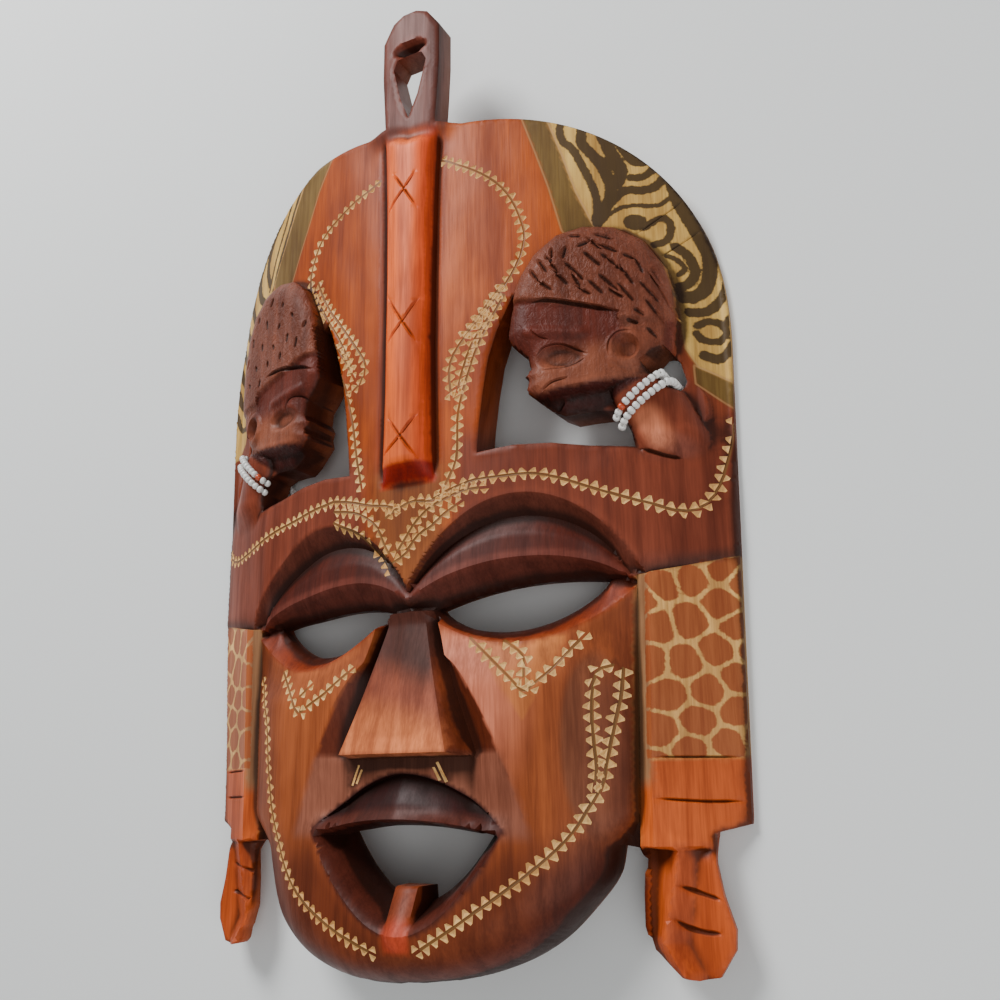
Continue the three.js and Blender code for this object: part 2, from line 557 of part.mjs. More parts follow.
const lineSeeds = [
  ...asVectors(sideLines.flat()),
  ...asVectors(sideLines.flat()).map(toLeft),
  ...asVectors([...featureLines, ...middleLines].flat()),
  ...asVectors([...featureLines, ...middleLines].flat()).map((p) => new THREE.Vector2(-p.x, p.y)),
];

// The solid: front faces, back faces turned over, and a wall round every edge between them
function carvedBody() {
  const front = fillPlan(lineSeeds, 0.75, 7, 1);
  const back = fillPlan([], 4, 13, 4);
  const rimCount = ring.length + holes.flat().length;
  const positions = front.points.flatMap((p) => [p.x, p.y, frontHeight(p.x, p.y)]);
  positions.push(...back.points.flatMap((p) => [p.x, p.y, backHeight(p.x, p.y)]));
  const shift = front.points.length;
  const turned = back.faces.flatMap(([a, b, c]) => [a + shift, c + shift, b + shift]);
  const index = [...front.faces.flat(), ...turned];
  for (const key of front.across.keys()) {
    const [a, b] = key.split(',').map(Number);
    if (a < rimCount && b < rimCount && !front.across.has(`${b},${a}`)) {
      index.push(a, b + shift, b, a, a + shift, b + shift);
    }
  }
  const geometry = new THREE.BufferGeometry();
  geometry.setAttribute('position', new THREE.Float32BufferAttribute(positions, 3));
  geometry.setIndex(index);
  geometry.computeVertexNormals();
  return geometry;
}

// A tight string round the neck: the outline of its cross section, moved out by a bead's radius
function neckSection(middle, direction) {
  const section = [];
  for (let t = -20; t <= 20; t += 0.5) {
    const x = middle.x + direction.x * t;
    const y = middle.y + direction.y * t;
    if (holes.some((hole) => isInside(x, y, hole.map((p) => [p.x, p.y])))) {
      if (t > 0) break;
      section.length = 0;
    } else {
      section.push(new THREE.Vector2(t, frontHeight(x, y)), new THREE.Vector2(t, backHeight(x, y)));
    }
  }
  return section;
}
function snugRing(middle, direction, axis) {
  const section = [-1, -0.5, 0, 0.5, 1].flatMap((side) =>
    neckSection(middle.clone().addScaledVector(axis, side * beads.radius), direction));
  const path = [];
  for (let turn = 0; turn <= 90; turn++) {
    const angle = Math.PI - (turn / 90) * Math.PI * 2;
    const outward = new THREE.Vector2(Math.cos(angle), Math.sin(angle));
    const far = section.reduce((best, p) => (p.dot(outward) > best.dot(outward) ? p : best));
    const point = far.clone().addScaledVector(outward, beads.radius + beads.clear);
    path.push(new THREE.Vector3(middle.x + direction.x * point.x, middle.y + direction.y * point.x, point.y));
  }
  return path;
}

// Points at even steps along a closed chain, as many as there are beads
function beadPlaces(path) {
  const lengths = path.map((p, i) => (i ? p.distanceTo(path[i - 1]) : 0));
  const total = lengths.reduce((a, b) => a + b);
  const count = Math.round(total / beads.pitch) * 2;
  const places = [];
  let travelled = 0;
  let i = 1;
  for (let k = 0; k < count; k++) {
    const goal = (total * k) / count;
    while (travelled + lengths[i] < goal) travelled += lengths[i++];
    places.push(path[i - 1].clone().lerp(path[i], (goal - travelled) / lengths[i]));
  }
  return places;
}

// One strand in a single closed skin, swelling at each bead; a gap leaves room for the red bead
function strandGeometry(places, axis, redPlace, gap) {
  const count = places.length;
  const rings = gap ? count - 2 * gap : count;
  const first = redPlace + gap;
  const positions = [];
  const index = [];
  for (let k = first; k < first + rings + (gap ? 1 : 0); k++) {
    const here = places[k % count];
    const along = places[(k + 1) % count].clone().sub(places[(k - 1 + count) % count]).normalize();
    const out = new THREE.Vector3().crossVectors(along, axis).normalize();
    const radius = k % 2 ? beads.radius : beads.waist;
    for (let side = 0; side < beads.sides; side++) {
      const angle = (side / beads.sides) * Math.PI * 2;
      const p = here.clone().addScaledVector(out, Math.cos(angle) * radius);
      p.addScaledVector(axis, Math.sin(angle) * radius);
      positions.push(p.x, p.y, p.z);
    }
  }
  const ringCount = positions.length / 3 / beads.sides;
  for (let k = 0; k < rings; k++) {
    for (let side = 0; side < beads.sides; side++) {
      const next = (side + 1) % beads.sides;
      const onward = ((k + 1) % ringCount) * beads.sides;
      const [a, b] = [k * beads.sides + side, k * beads.sides + next];
      index.push(a, onward + side, onward + next, a, onward + next, b);
    }
  }
  for (let side = 1; gap && side < beads.sides - 1; side++) {
    const cap = rings * beads.sides;
    index.push(0, side, side + 1, cap, cap + side + 1, cap + side);
  }
  const geometry = new THREE.BufferGeometry();
  geometry.setAttribute('position', new THREE.Float32BufferAttribute(positions, 3));
  geometry.setIndex(index);
  geometry.computeVertexNormals();
  return geometry;
}

const wood = new THREE.MeshStandardMaterial({ color: '#8a3d1c', roughness: 0.4, metalness: 0 });
const body = new THREE.Mesh(carvedBody(), wood);
body.name = 'mask_body';

const whiteGlass = new THREE.MeshStandardMaterial({ color: '#f1f0ea', roughness: 0.2, metalness: 0 });
const redGlass = new THREE.MeshStandardMaterial({ color: '#c4501f', roughness: 0.25, metalness: 0 });

const mask = new THREE.Group();
mask.add(body);

// Two strands round each neck, the upper one with a single coloured bead at the throat
for (const [sideName, mirror] of [['right', 1], ['left', -1]]) {
  const direction = new THREE.Vector2(beads.across[0] * mirror, beads.across[1]);
  const axis = new THREE.Vector3(-direction.y, direction.x, 0).normalize().multiplyScalar(mirror);
  for (const [level, shift] of [['upper', 0.5], ['lower', -0.5]]) {
    const middle = new THREE.Vector2(beads.centre[0] * mirror, beads.centre[1]);
    middle.addScaledVector(axis, shift * beads.apart);
    const places = beadPlaces(snugRing(middle, direction, axis));
    const redPlace = 2 * Math.round(places.length * 0.04) + 1;
    const hasRed = level === 'upper';
    const skin = strandGeometry(places, axis.clone().multiplyScalar(mirror), redPlace, hasRed ? 2 : 0);
    const strand = new THREE.Mesh(skin, whiteGlass);
    strand.name = `necklace_${sideName}_${level}`;
    mask.add(strand);
    if (hasRed) {
      const bead = new THREE.Mesh(new THREE.SphereGeometry(beads.radius, 8, 5), redGlass);
      bead.name = `red_bead_${sideName}`;
      bead.position.copy(places[redPlace]);
      mask.add(bead);
    }
  }
}
mask.position.y = -(loop.top + Math.min(...ring.map((p) => p.y))) / 2;

export default mask;
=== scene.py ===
import math

import bpy
import numpy as np
from mathutils import Matrix, Vector
from mathutils.geometry import delaunay_2d_cdt


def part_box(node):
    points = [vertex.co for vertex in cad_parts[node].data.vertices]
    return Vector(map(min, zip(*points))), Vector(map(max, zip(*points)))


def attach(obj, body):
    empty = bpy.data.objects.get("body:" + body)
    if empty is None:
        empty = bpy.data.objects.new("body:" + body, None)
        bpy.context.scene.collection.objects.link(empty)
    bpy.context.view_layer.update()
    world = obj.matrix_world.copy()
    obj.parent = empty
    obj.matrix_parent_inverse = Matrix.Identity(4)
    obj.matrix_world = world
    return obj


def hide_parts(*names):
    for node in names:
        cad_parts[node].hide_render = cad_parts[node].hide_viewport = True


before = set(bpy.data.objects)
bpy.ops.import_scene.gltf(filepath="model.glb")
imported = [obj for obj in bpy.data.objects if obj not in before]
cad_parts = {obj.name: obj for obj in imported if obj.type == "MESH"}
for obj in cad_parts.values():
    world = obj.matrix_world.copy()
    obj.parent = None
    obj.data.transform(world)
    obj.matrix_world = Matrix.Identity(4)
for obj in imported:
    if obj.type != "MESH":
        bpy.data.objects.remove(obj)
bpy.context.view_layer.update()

lumps = np.random.default_rng(11)

# The carving is worked out in millimetres, with x across the face, y up to the loop and
# z up from the table. loopTop is where the loop ends on that drawing. Points closer to a rim
# than the clear values are left out, and a fill point needs free cells round it.
carving = {
    "loopTop": 225.5, "foot": -141, "top": 228, "fieldHalf": 114, "rimStep": 1.2, "plainSpacing": 1.25,
    "headSpacing": 0.75, "backSpacing": 4.0, "neckBackSpacing": 1.1, "lineClear": 0.5, "chipClear": 0.8,
    "cutClear": 0.7, "lineCell": 0.4, "fineCell": 0.42, "plainCell": 0.5, "hubCell": 0.85, "backCell": 1.6,
    "neckBackCell": 0.6, "chipSlope": 2.6, "edgeRound": 0.7, "edgeShare": 0.8, "handWobble": 0.13,
    "sharpDegrees": 38, "outside": -9.0,
}
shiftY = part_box("mask_body")[1].y * 1000 - carving["loopTop"]


def clamp(t):
    return np.clip(t, 0.0, 1.0)


def mix(a, b, t):
    return a + (b - a) * t


# Smooth step from 0 to 1 between two levels, which may run downwards
def ease(low, high, value):
    t = clamp((value - low) / (high - low))
    return t * t * (3 - 2 * t)


# Straight pieces through (place, height) pairs; places may be arrays and run upwards
def profile(place, knots):
    height = knots[0][1] + 0.0 * place
    for (a, low), (b, high) in zip(knots, knots[1:]):
        t = clamp((place - a) / np.maximum(b - a, 1e-6))
        height = np.where(place > a, mix(low, high, t), height)
    return height


# Distance to a straight piece between two points
def toSegment(x, y, a, b):
    ax, ay = a
    dx, dy = b[0] - ax, b[1] - ay
    t = clamp(((x - ax) * dx + (y - ay) * dy) / (dx * dx + dy * dy))
    return np.hypot(x - ax - t * dx, y - ay - t * dy)


# Distance to a chain of straight pieces
def toLine(x, y, line):
    near = np.full(np.shape(x), 1e9)
    for a, b in zip(line, line[1:]):
        near = np.minimum(near, toSegment(x, y, a, b))
    return near


# Even-odd rule along a level ray
def inRing(x, y, ring):
    inside = np.zeros(np.shape(x), bool)
    for (ax, ay), (bx, by) in zip(ring, list(ring[1:]) + [ring[0]]):
        if ay != by:
            crosses = (ay > y) != (by > y)
            inside ^= crosses & (x < (bx - ax) * (y - ay) / (by - ay) + ax)
    return inside


# Distance to the left of the straight line from a to b
def besideLine(x, y, a, b):
    dx, dy = b[0] - a[0], b[1] - a[1]
    return (dx * (y - a[1]) - dy * (x - a[0])) / math.hypot(dx, dy)


# 0 in the middle of an oval, 1 on its outline
def ovalReach(x, y, centre, half):
    return np.hypot((x - centre[0]) / half[0], (y - centre[1]) / half[1])


# Sizes of the half-log, its panels and openings
log = {
    "crown": 33.0, "radius": 206.5, "halfWidth": 111.0, "archCentre": 70.0, "archRise": 99.0,
    "archPower": 2.4, "footHalf": 105.5, "foot": -89.0, "wall": 13.0, "archEdge": 9.0, "thinnest": 2.6,
}
chin = {
    "centre": -84.0, "half": 68.5, "drop": 54.0, "power": 2.3, "tilt": 0.09, "tilted": (-98, -122),
    "join": (-84, -98), "edge": 13.0, "rollFrom": 0.66, "rollWide": 0.34, "rollPower": 2.4, "back": 8.0,
}
panel = {
    "creaseTop": 77.8, "creaseFoot": 74.4, "creaseHeight": 16.0, "bevel": 5.2, "front": 19.0,
    "edge": 3.2, "topOuter": -6.8, "topInner": -12.0,
}
pendantRing = [
    (95.6, -91.4), (95.8, -100), (97.4, -109), (100.3, -118), (99.8, -123.6), (94.8, -131), (89, -132),
    (84.4, -131.2), (75.6, -124.6), (73.6, -118), (73.8, -109), (74.6, -99), (73, -95.6), (67.6, -94.8),
]
pendantRidge = [(-131, 86), (-122, 79.4), (-117, 81), (-106, 83.4), (-97, 85.4)]
pendant = {"inner": 8.5, "ridge": 14.5, "outer": 4.2}
loop = {
    "shoulder": 216.0, "footHalf": 11.5, "half": 13.2, "front": 36.0, "back": 25.0, "notchLevel": 208.5,
    "notchHalf": 9.0, "notchHigh": 3.4, "notchDeep": 5.0, "point": 176.0, "wide": 201.0,
    "holeTop": 205.0, "holeHalf": 7.6,
}
strip = {
    "foot": 26.0, "top": 166.0, "waist": 80.0, "waistHalf": 10.2, "endHalf": 12.0, "proud": 5.6,
}
leftSide = {"heads": 13.0, "from": 45.0, "full": 109.0, "fade": (180, 200), "half": 52, "eyes": 5.0,
            "eyesTop": (30, 5), "eyesFoot": (-55, -30), "eyesAcross": (10, 55), "narrower": 4.0,
            "pendant": 5.5}
temple = {"swell": 1.8, "inner": (58, 76), "outer": (116, 104), "foot": (-16, -4), "top": (38, 22)}


# The left side: heads sit higher and the eye's outer corner lower than on the right
def liftAt(u, v):
    rising = ease(leftSide["from"], leftSide["full"], v)
    heads = leftSide["heads"] * rising * (1 - ease(*leftSide["fade"], v))
    eyes = leftSide["eyes"] * ease(*leftSide["eyesTop"], v) * ease(*leftSide["eyesFoot"], v)
    return heads * clamp(u / leftSide["half"]) ** 0.75 - eyes * ease(*leftSide["eyesAcross"], u)


# Place of a point on the right side's drawing
def unlifted(x, y):
    u = np.abs(x)
    v = y + 0.0
    for turn in range(8):
        v = np.where(x < 0, y - liftAt(u, v), y)
    return u, v


# Carries points of the right side's drawing to the left side
def toLeft(points):
    x, y = np.array(points, float).T
    beside = np.where(x > 88, ease(88, 104, x) * ease(10, -85, y) * leftSide["narrower"], 0)
    below = np.where(y < -90, ease(84, 75, x) * ease(66, 69, x) * leftSide["pendant"], 0)
    return np.stack([beside - below - x, y + liftAt(x, y)], 1)


# Front of the half-log before it is carved
def logHeight(u):
    return log["crown"] - log["radius"] + np.sqrt(log["radius"] ** 2 - np.minimum(u, 118) ** 2)


# Half width of the face at the crease where the side panels begin
def creaseAt(v):
    return mix(panel["creaseFoot"], panel["creaseTop"], clamp((v + 95) / 82))


def panelTopAt(u):
    return mix(panel["topInner"], panel["topOuter"], clamp((u - 82) / 27))


def stripHalf(v):
    return strip["waistHalf"] + (strip["endHalf"] - strip["waistHalf"]) * ((v - strip["waist"]) / 80) ** 2


# Arched lines of the eye: inner end, outer end, their levels, rise and bow
eyeLines = {
    "socket": (-3, 80.6, -17.6, -11.5, 32.6, 0.8), "lidCrease": (-2, 75, -17.2, -11, 25.2, 0.75),
    "lidEdge": (-2, 75, -18, -13, 11.8, 0.7), "eyeTop": (9, 68.4, -18.4, -12.4, 3.2, 1),
    "eyeFoot": (9, 68.4, -18.6, -12.6, -11.9, 0.8), "eyeRim": (6, 78, -19.5, -15.6, -14.8, 1),
}
eyeDepths = {"crease": -6.0, "lid": -3.0, "edge": -2.0, "opening": -9.5, "lowerOpening": -8.0}


# chord + rise * (4t(1-t))^bow
def eyeLine(name, u):
    inner, outer, innerLevel, outerLevel, rise, bow = eyeLines[name]
    t = clamp((u - inner) / (outer - inner))
    return mix(innerLevel, outerLevel, t) + rise * (4 * t * (1 - t)) ** bow


nose = {
    "top": -19.0, "foot": -66.5, "topHalf": 6.6, "footHalf": 20.5, "flankTop": 3.0, "flankFoot": 5.0,
    "bridge": 31.0, "tip": 41.0,
}
cheek = {
    "swell": 4.0, "from": -25.0, "full": -48.0, "top": -35.0, "foot": -93.0, "inner": 14.0,
    "spread": 32.0,
}
mouth = {
    "corner": 36.8, "level": -90.5, "rise": 17.6, "lipPower": 1.8, "step": 2.4, "bulge": 4.0,
    "fall": 31.5, "power": 1.9, "holeCorner": 27.5, "holeTop": -91.5, "holeFall": 21.5,
    "lipEdge": -86.8, "sag": 3.4,
}
tongue = {
    "half": 4.8, "tip": -107.5, "front": -121.5, "end": -126.5, "tipHeight": 31.0, "frontHeight": 38.5,
}


# 0 at the nose's top, 1 at its foot
def noseAlong(v):
    return clamp((nose["top"] - v) / (nose["top"] - nose["foot"]))


def noseHalf(v):
    return mix(nose["topHalf"], nose["footHalf"], noseAlong(v) ** 1.15)


def noseFlank(v):
    return noseHalf(v) + mix(nose["flankTop"], nose["flankFoot"], noseAlong(v))


# Fold from the nose to the cheek
def cheekRidge(v):
    t = clamp((cheek["top"] - v) / (cheek["top"] - cheek["foot"]))
    fold = np.maximum(noseFlank(v) + 1.8, cheek["inner"] + cheek["spread"] * t ** 0.6)
    return np.where(v > cheek["top"], noseFlank(v) + 1.8, fold)


def lipTop(u):
    return mouth["level"] + mouth["rise"] * (1 - clamp(u / mouth["corner"]) ** mouth["lipPower"])


def lipEdge(u):
    return mouth["lipEdge"] - mouth["sag"] * (u / 30) ** 2


def mouthFoot(u):
    return mouth["level"] - mouth["fall"] * (1 - clamp(u / mouth["corner"]) ** mouth["power"])


def mouthHoleFoot(u):
    return mouth["holeTop"] - mouth["holeFall"] * (1 - clamp(u / mouth["holeCorner"]) ** mouth["power"])


# Profile heads, drawn for the right-hand opening
faceLine = [
    (43.6, 89), (41.7, 80), (40.6, 72.4), (43.2, 68.6), (47.6, 64.6), (48.3, 60.4), (46.4, 57.8),
    (47.6, 55.4), (46.6, 52.2), (50, 49.2), (54.2, 45.6), (58.2, 43.6), (64, 44.2), (70, 44.6),
]
skullLine = [
    (90.5, 57.5), (94, 64), (95.6, 75), (95.6, 85), (93.2, 95.5), (87, 105.8), (78, 111.2), (68, 112.4),
    (59, 110), (51, 103.4), (46.4, 96), (43.6, 89),
]
headRing = faceLine + skullLine[:-1]
head = {
    "proud": 7.5, "rim": 9.0, "hairProud": 1.4, "hairInner": (48, 84.5), "hairOuter": (79, 77.5),
    "napeHair": 74, "ear": (81.2, 64.2), "earHalf": (5.6, 6.2), "earProud": 1.2, "earDeep": 3.4,
    "eye": (60, 62.5), "eyeHalf": (8.5, 4.4), "eyeDeep": 2.4, "browInner": (50, 72.6),
    "browOuter": (67, 70.6), "browProud": 1.1, "jawInner": (50, 50.5), "jawOuter": (86, 55),
    "jawDrop": 4.5,
}
neck = {"top": (83.5, 52), "middle": (88.5, 44), "foot": (92, 33), "half": 10.5, "proud": 5.5, "back": 5.0,
        "reach": 16.0}
openingEdge = [(27, 34), (28, 45), (29.6, 57), (31.7, 69), (35, 79), (39, 87.4), (41, 91)]
openingNeck = [(70, 44.6), (75.6, 43.6), (78.6, 38), (80, 31)]
openingFoot = [(80, 31), (66, 32.4), (53, 34.6), (40, 35.2), (27, 34)]
napeGap = [
    (84.6, 59.6), (86.4, 55.6), (89, 54.6), (91.6, 50.8), (95, 49.8), (96.6, 54), (95, 61),
    (91.6, 65.6),
]


# Above 0 in the hair of a profile head
def aboveHairline(u, y):
    line = besideLine(u, y, head["hairInner"], head["hairOuter"])
    return np.where(u > head["hairOuter"][0], y - head["napeHair"], line)


# Dome over the head's outline, with hair cap, hairline groove, sunk eye, cupped ear and jaw plane
def headRelief(u, v, y):
    relief = np.zeros(np.shape(u))
    near = (u > 35) & (u < 108) & (v > 20) & (v < 120)
    a, b, c = u[near], v[near], y[near]
    inset = clamp(toLine(a, b, headRing + headRing[:1]) / head["rim"])
    rise = head["proud"] * np.sqrt(1 - (1 - inset) ** 2 * 0.8)
    rise += head["hairProud"] * ease(-1, 1.5, aboveHairline(a, c))
    rise -= head["eyeDeep"] * (1 - ease(0.5, 1.1, ovalReach(a, c, head["eye"], head["eyeHalf"])))
    rise += head["browProud"] * (1 - ease(0, 3.2, toSegment(a, c, head["browInner"], head["browOuter"])))
    ear = ovalReach(a, c, head["ear"], head["earHalf"])
    rise += head["earProud"] * (1 - ease(0.9, 1.25, ear)) - head["earDeep"] * (1 - ease(0.35, 0.8, ear))
    rise -= head["jawDrop"] * ease(0, -3.5, besideLine(a, b, head["jawInner"], head["jawOuter"]))
    rise *= inRing(a, b, headRing)
    off = toSegment(a, b, neck["top"], neck["foot"])
    necked = neck["proud"] * np.sqrt(np.maximum(0, 1 - (off / neck["half"]) ** 2)) * ease(24, 36, b)
    relief[near] = np.maximum(rise, necked)
    return relief


# Socket, lid and opening of an eye, cut below the face
def eyeRelief(u, v):
    inner, outer = eyeLines["socket"][:2]
    span = clamp((u - inner) / (outer - inner))
    depth = (4 * span * (1 - span)) ** 0.4
    brow = eyeLine("socket", u)
    crease = np.minimum(eyeLine("lidCrease", u), brow - 0.5)
    edge = np.minimum(eyeLine("lidEdge", u), crease - 0.5)
    upper = np.minimum(eyeLine("eyeTop", u), edge - 0.5)
    lower = np.minimum(eyeLine("eyeFoot", u), upper - 0.1)
    rim = np.minimum(eyeLine("eyeRim", u), lower - 0.3)
    cut = profile(v, [(rim, 0), (lower, eyeDepths["lowerOpening"]), (upper, eyeDepths["opening"]),
                      (edge, eyeDepths["edge"]), (mix(edge, crease, 0.55), eyeDepths["lid"]),
                      (crease, eyeDepths["crease"]), (brow, 0)])
    return np.where((v < brow) & (depth > 0), depth * cut, 0)


# How far the chin's lower part is lifted on the right by its tilt
def chinLift(x, v):
    return chin["tilt"] * x * ease(*chin["tilted"], v)


# 0 in the middle of the chin, 1 on its outline
def chinReach(x, v):
    below = clamp((chin["centre"] - (v - chinLift(x, v))) / chin["drop"])
    return ((np.abs(x) / chin["half"]) ** chin["power"] + below ** chin["power"]) ** (1 / chin["power"])


# Where the face ends, on the same scale: at the crease beside the cheeks, at the outline below
def edgeReachAt(v):
    return mix(creaseAt(v) / chin["half"], 1, ease(*chin["join"], v))


# Plain face: the log's curve, swollen at the cheeks and rolled over at its edge
def faceHeight(x, v):
    u = np.abs(x)
    top = logHeight(u) + cheek["swell"] * ease(cheek["from"], cheek["full"], v)
    roll = clamp((chinReach(x, v) / edgeReachAt(v) - chin["rollFrom"]) / chin["rollWide"])
    drop = 1 - (1 - roll ** chin["rollPower"]) ** (1 / chin["rollPower"])
    edge = mix(panel["creaseHeight"], chin["edge"], ease(*chin["join"], v))
    return mix(top, np.minimum(top, edge), drop * ease(-8, -22, v))


# Nose and the lower band under it, as relief on the face
def noseRelief(u, v, face):
    ridge = cheekRidge(v)
    fade = ease(nose["top"], nose["top"] - 5, v) * ease(cheek["foot"], cheek["foot"] + 10, v)
    muzzle = profile(u, [(0, -3), (np.minimum(24, ridge - 6), -5.5), (ridge, 0)])
    bridge = mix(nose["bridge"], nose["tip"], noseAlong(v) ** 1.1) - face
    nosed = profile(u, [(0 * v, bridge + 0.6), (noseHalf(v), bridge), (noseFlank(v), -5.6), (ridge, 0)])
    relief = mix(muzzle, nosed, ease(nose["foot"] - 1.4, nose["foot"], v)) * fade
    return np.where((v > nose["top"]) | (v < cheek["foot"]) | (u > ridge), 0, relief)


# Upper lip, the wall round the open mouth, and the tongue
def mouthHeight(x, v, height, floor):
    u = np.abs(x)
    top = lipTop(u)
    edge = np.minimum(lipEdge(u), top - 0.4)
    side = 1 - clamp(u / mouth["corner"]) ** 4
    bulge = mouth["bulge"] * (1 - clamp(u / mouth["corner"]) ** 2)
    lip = height + side * profile(v, [(edge, bulge), (mix(edge, top, 0.35), bulge * 0.7),
                                      (top, -mouth["step"])])
    under = mix(height - 8, height + mouth["bulge"] * side, ease(edge - 2.5, edge, v) * side)
    outer = mouthFoot(u)
    inner = np.where(u < mouth["holeCorner"], mouthHoleFoot(u), mouth["holeTop"])
    slope = ease(0, 1, clamp((inner - v) / np.maximum(0.5, inner - outer))) ** 0.8
    wall = mix(floor + 3, height + 0.6, slope)
    level = np.where(v > edge, lip, np.where(v > mouth["holeTop"], under, wall))
    outward = ease(mouth["holeCorner"], mouth["corner"], u)
    level = np.where(u > mouth["holeCorner"], mix(level, height, outward), level)
    level = np.where((u < mouth["corner"]) & (v < top) & (v > outer), level, height)
    peg = profile(v, [(tongue["end"] + 0 * v, height), (tongue["front"], tongue["frontHeight"]),
                      (tongue["tip"], tongue["tipHeight"])])
    onPeg = (u < tongue["half"] + 0.6) & (v < tongue["tip"] + 1) & (v > tongue["end"])
    flank = ease(tongue["half"] + 0.6, tongue["half"] - 0.6, u)
    return np.where(onPeg, np.maximum(level, mix(level, peg - 0.06 * u * u, flank)), level)


# Domed strip down the forehead, in a shallow trough
def stripRelief(x, v):
    half = stripHalf(v)
    ends = clamp((v - strip["foot"]) / 7.5) * ease(strip["top"] + 3, strip["top"] - 4, v)
    dome = 1.26 * (1 - clamp(np.abs(x) / half) ** 2.6) ** 0.6 - 0.26
    beside = profile(np.abs(x), [(half, -0.26), (half + 2.6, 0)])
    return strip["proud"] * np.where(np.abs(x) < half, dome, beside) * ends


# Back of the shell: a flat rim on the table and a hollow behind the face
def backHeight(x, y):
    u, v = unlifted(x, y)
    archReach = (u / log["halfWidth"]) ** log["archPower"]
    archReach = archReach + (np.maximum(0, v - log["archCentre"]) / log["archRise"]) ** log["archPower"]
    thickness = mix(log["wall"], log["archEdge"], ease(0.55, 0.95, archReach))
    hollow = np.maximum(0, logHeight(u) - thickness)
    off = toSegment(u, v, neck["top"], neck["middle"])
    behindNeck = neck["back"] * ease(neck["reach"], neck["reach"] - 2, off)
    chinRim = ease(0.7, 0.93, chinReach(x, v)) * ease(-86, -100, v)
    shell = np.maximum(mix(hollow, chin["back"], chinRim), behindNeck)
    return mix(shell, loop["back"], ease(160, 174, v) * ease(30, 16, u))


# Front of the whole carving
def frontHeight(x, y):
    u, v = unlifted(x, y)
    floor = backHeight(x, y)
    crease = creaseAt(v)
    edge = mix(log["footHalf"], log["halfWidth"], clamp((v - log["foot"]) / 159))
    slab = profile(u, [(crease, panel["creaseHeight"]), (crease + panel["bevel"], panel["front"]),
                       (edge, panel["edge"])])
    hang = profile(u, [(74 + 0 * v, pendant["inner"]), (profile(v, pendantRidge), pendant["ridge"]),
                       (99 + 0 * v, pendant["outer"])])
    side = mix(hang, slab, ease(-96.4, -95, v))
    face = faceHeight(x, v)
    face = face + noseRelief(u, v, face)
    face = face + eyeRelief(u, v)
    face = mouthHeight(x, v, face, floor)
    swell = temple["swell"] * ease(*temple["inner"], u) * ease(*temple["foot"], v)
    face = face + swell * ease(*temple["top"], v) * ease(*temple["outer"], u)
    face = face + headRelief(u, v, y + 0.0 * x) + stripRelief(x, v)
    height = np.where((v < panelTopAt(u)) & (u > crease), side, face)
    notch = ovalReach(x, v, (0, loop["notchLevel"]), (loop["notchHalf"], loop["notchHigh"]))
    eyelet = loop["front"] - 0.008 * x * x - loop["notchDeep"] * (1 - ease(0.3, 1, notch))
    height = mix(height, eyelet, ease(160, 172, v) * ease(24, 13, u))
    return np.maximum(height, floor + log["thinnest"])


# Points every step along a chain of corners; the last corner is left to the next chain
def stepAlong(corners, step):
    corners = np.array(corners, float)
    pieces = []
    for a, b in zip(corners, corners[1:]):
        count = max(1, round(float(np.hypot(*(b - a))) / step))
        pieces.append(a + (b - a) * (np.arange(count) / count)[:, None])
    return np.concatenate(pieces)


# Quarter of a superellipse: the arch's above its centre, the chin's below
def quarterLine(start, end, count, half, centre, rise, power):
    angle = np.linspace(start, end, count)
    across, along = np.maximum(np.cos(angle), 0), np.maximum(np.sin(angle), 0)
    return np.stack([half * across ** (2 / power), centre + rise * along ** (2 / power)], 1)


# Outline of the whole mask, with the pendants and the loop
def carvedOutline(step):
    top, foot = carving["loopTop"], chin["centre"] - chin["drop"]
    right = stepAlong(np.concatenate([
        [(0, top), (3, top), (8, 223.4), (loop["half"], loop["shoulder"])],
        [(loop["half"], loop["shoulder"] - 16), (12.4, 184), (loop["footHalf"], 171)],
        quarterLine(math.pi * 0.455, 0, 60, log["halfWidth"], log["archCentre"], log["archRise"],
                    log["archPower"]),
        [(log["footHalf"], log["foot"])],
        pendantRing,
        quarterLine(0.3, math.pi / 2, 40, chin["half"], chin["centre"], -chin["drop"], chin["power"]),
    ]), step)
    chain = np.concatenate([right[1:][::-1], [(0, top)], toLeft(right[1:]), [(0, foot)]])
    x, y = chain.T
    chain[:, 1] += np.where(np.abs(x) < chin["half"] + 1, chinLift(x, y), 0)
    return chain


# Openings: eye, mouth, the hole beside a head and the loop's hole
def eyeRing(step):
    inner, outer = eyeLines["eyeTop"][:2]
    along = mix(inner, outer, 0.5 - 0.5 * np.cos(np.pi * np.arange(40) / 40))
    upper = np.stack([along, eyeLine("eyeTop", along)], 1)
    lower = np.stack([along[1:], eyeLine("eyeFoot", along[1:])], 1)
    ring = np.concatenate([upper, [(outer, eyeLines["eyeTop"][3])], lower[::-1], upper[:1]])
    return stepAlong(ring, step)


def mouthRing(step):
    across = np.linspace(mouth["holeCorner"], tongue["half"] + 1, 24)
    right = np.stack([across, mouthHoleFoot(across)], 1)
    peg = [(tongue["half"] + 0.6, tongue["tip"]), (-tongue["half"] - 0.6, tongue["tip"])]
    overLip = np.linspace(-20, 20, 24)
    top = np.stack([overLip, np.maximum(lipEdge(np.abs(overLip)) - 2.2, mouth["holeTop"] + 0.3)], 1)
    return stepAlong(np.concatenate([right, peg, right[::-1] * (-1, 1), top, right[:1]]), step)


def openingRing(step):
    return stepAlong(openingEdge + faceLine + openingNeck[1:] + openingFoot[1:], step)


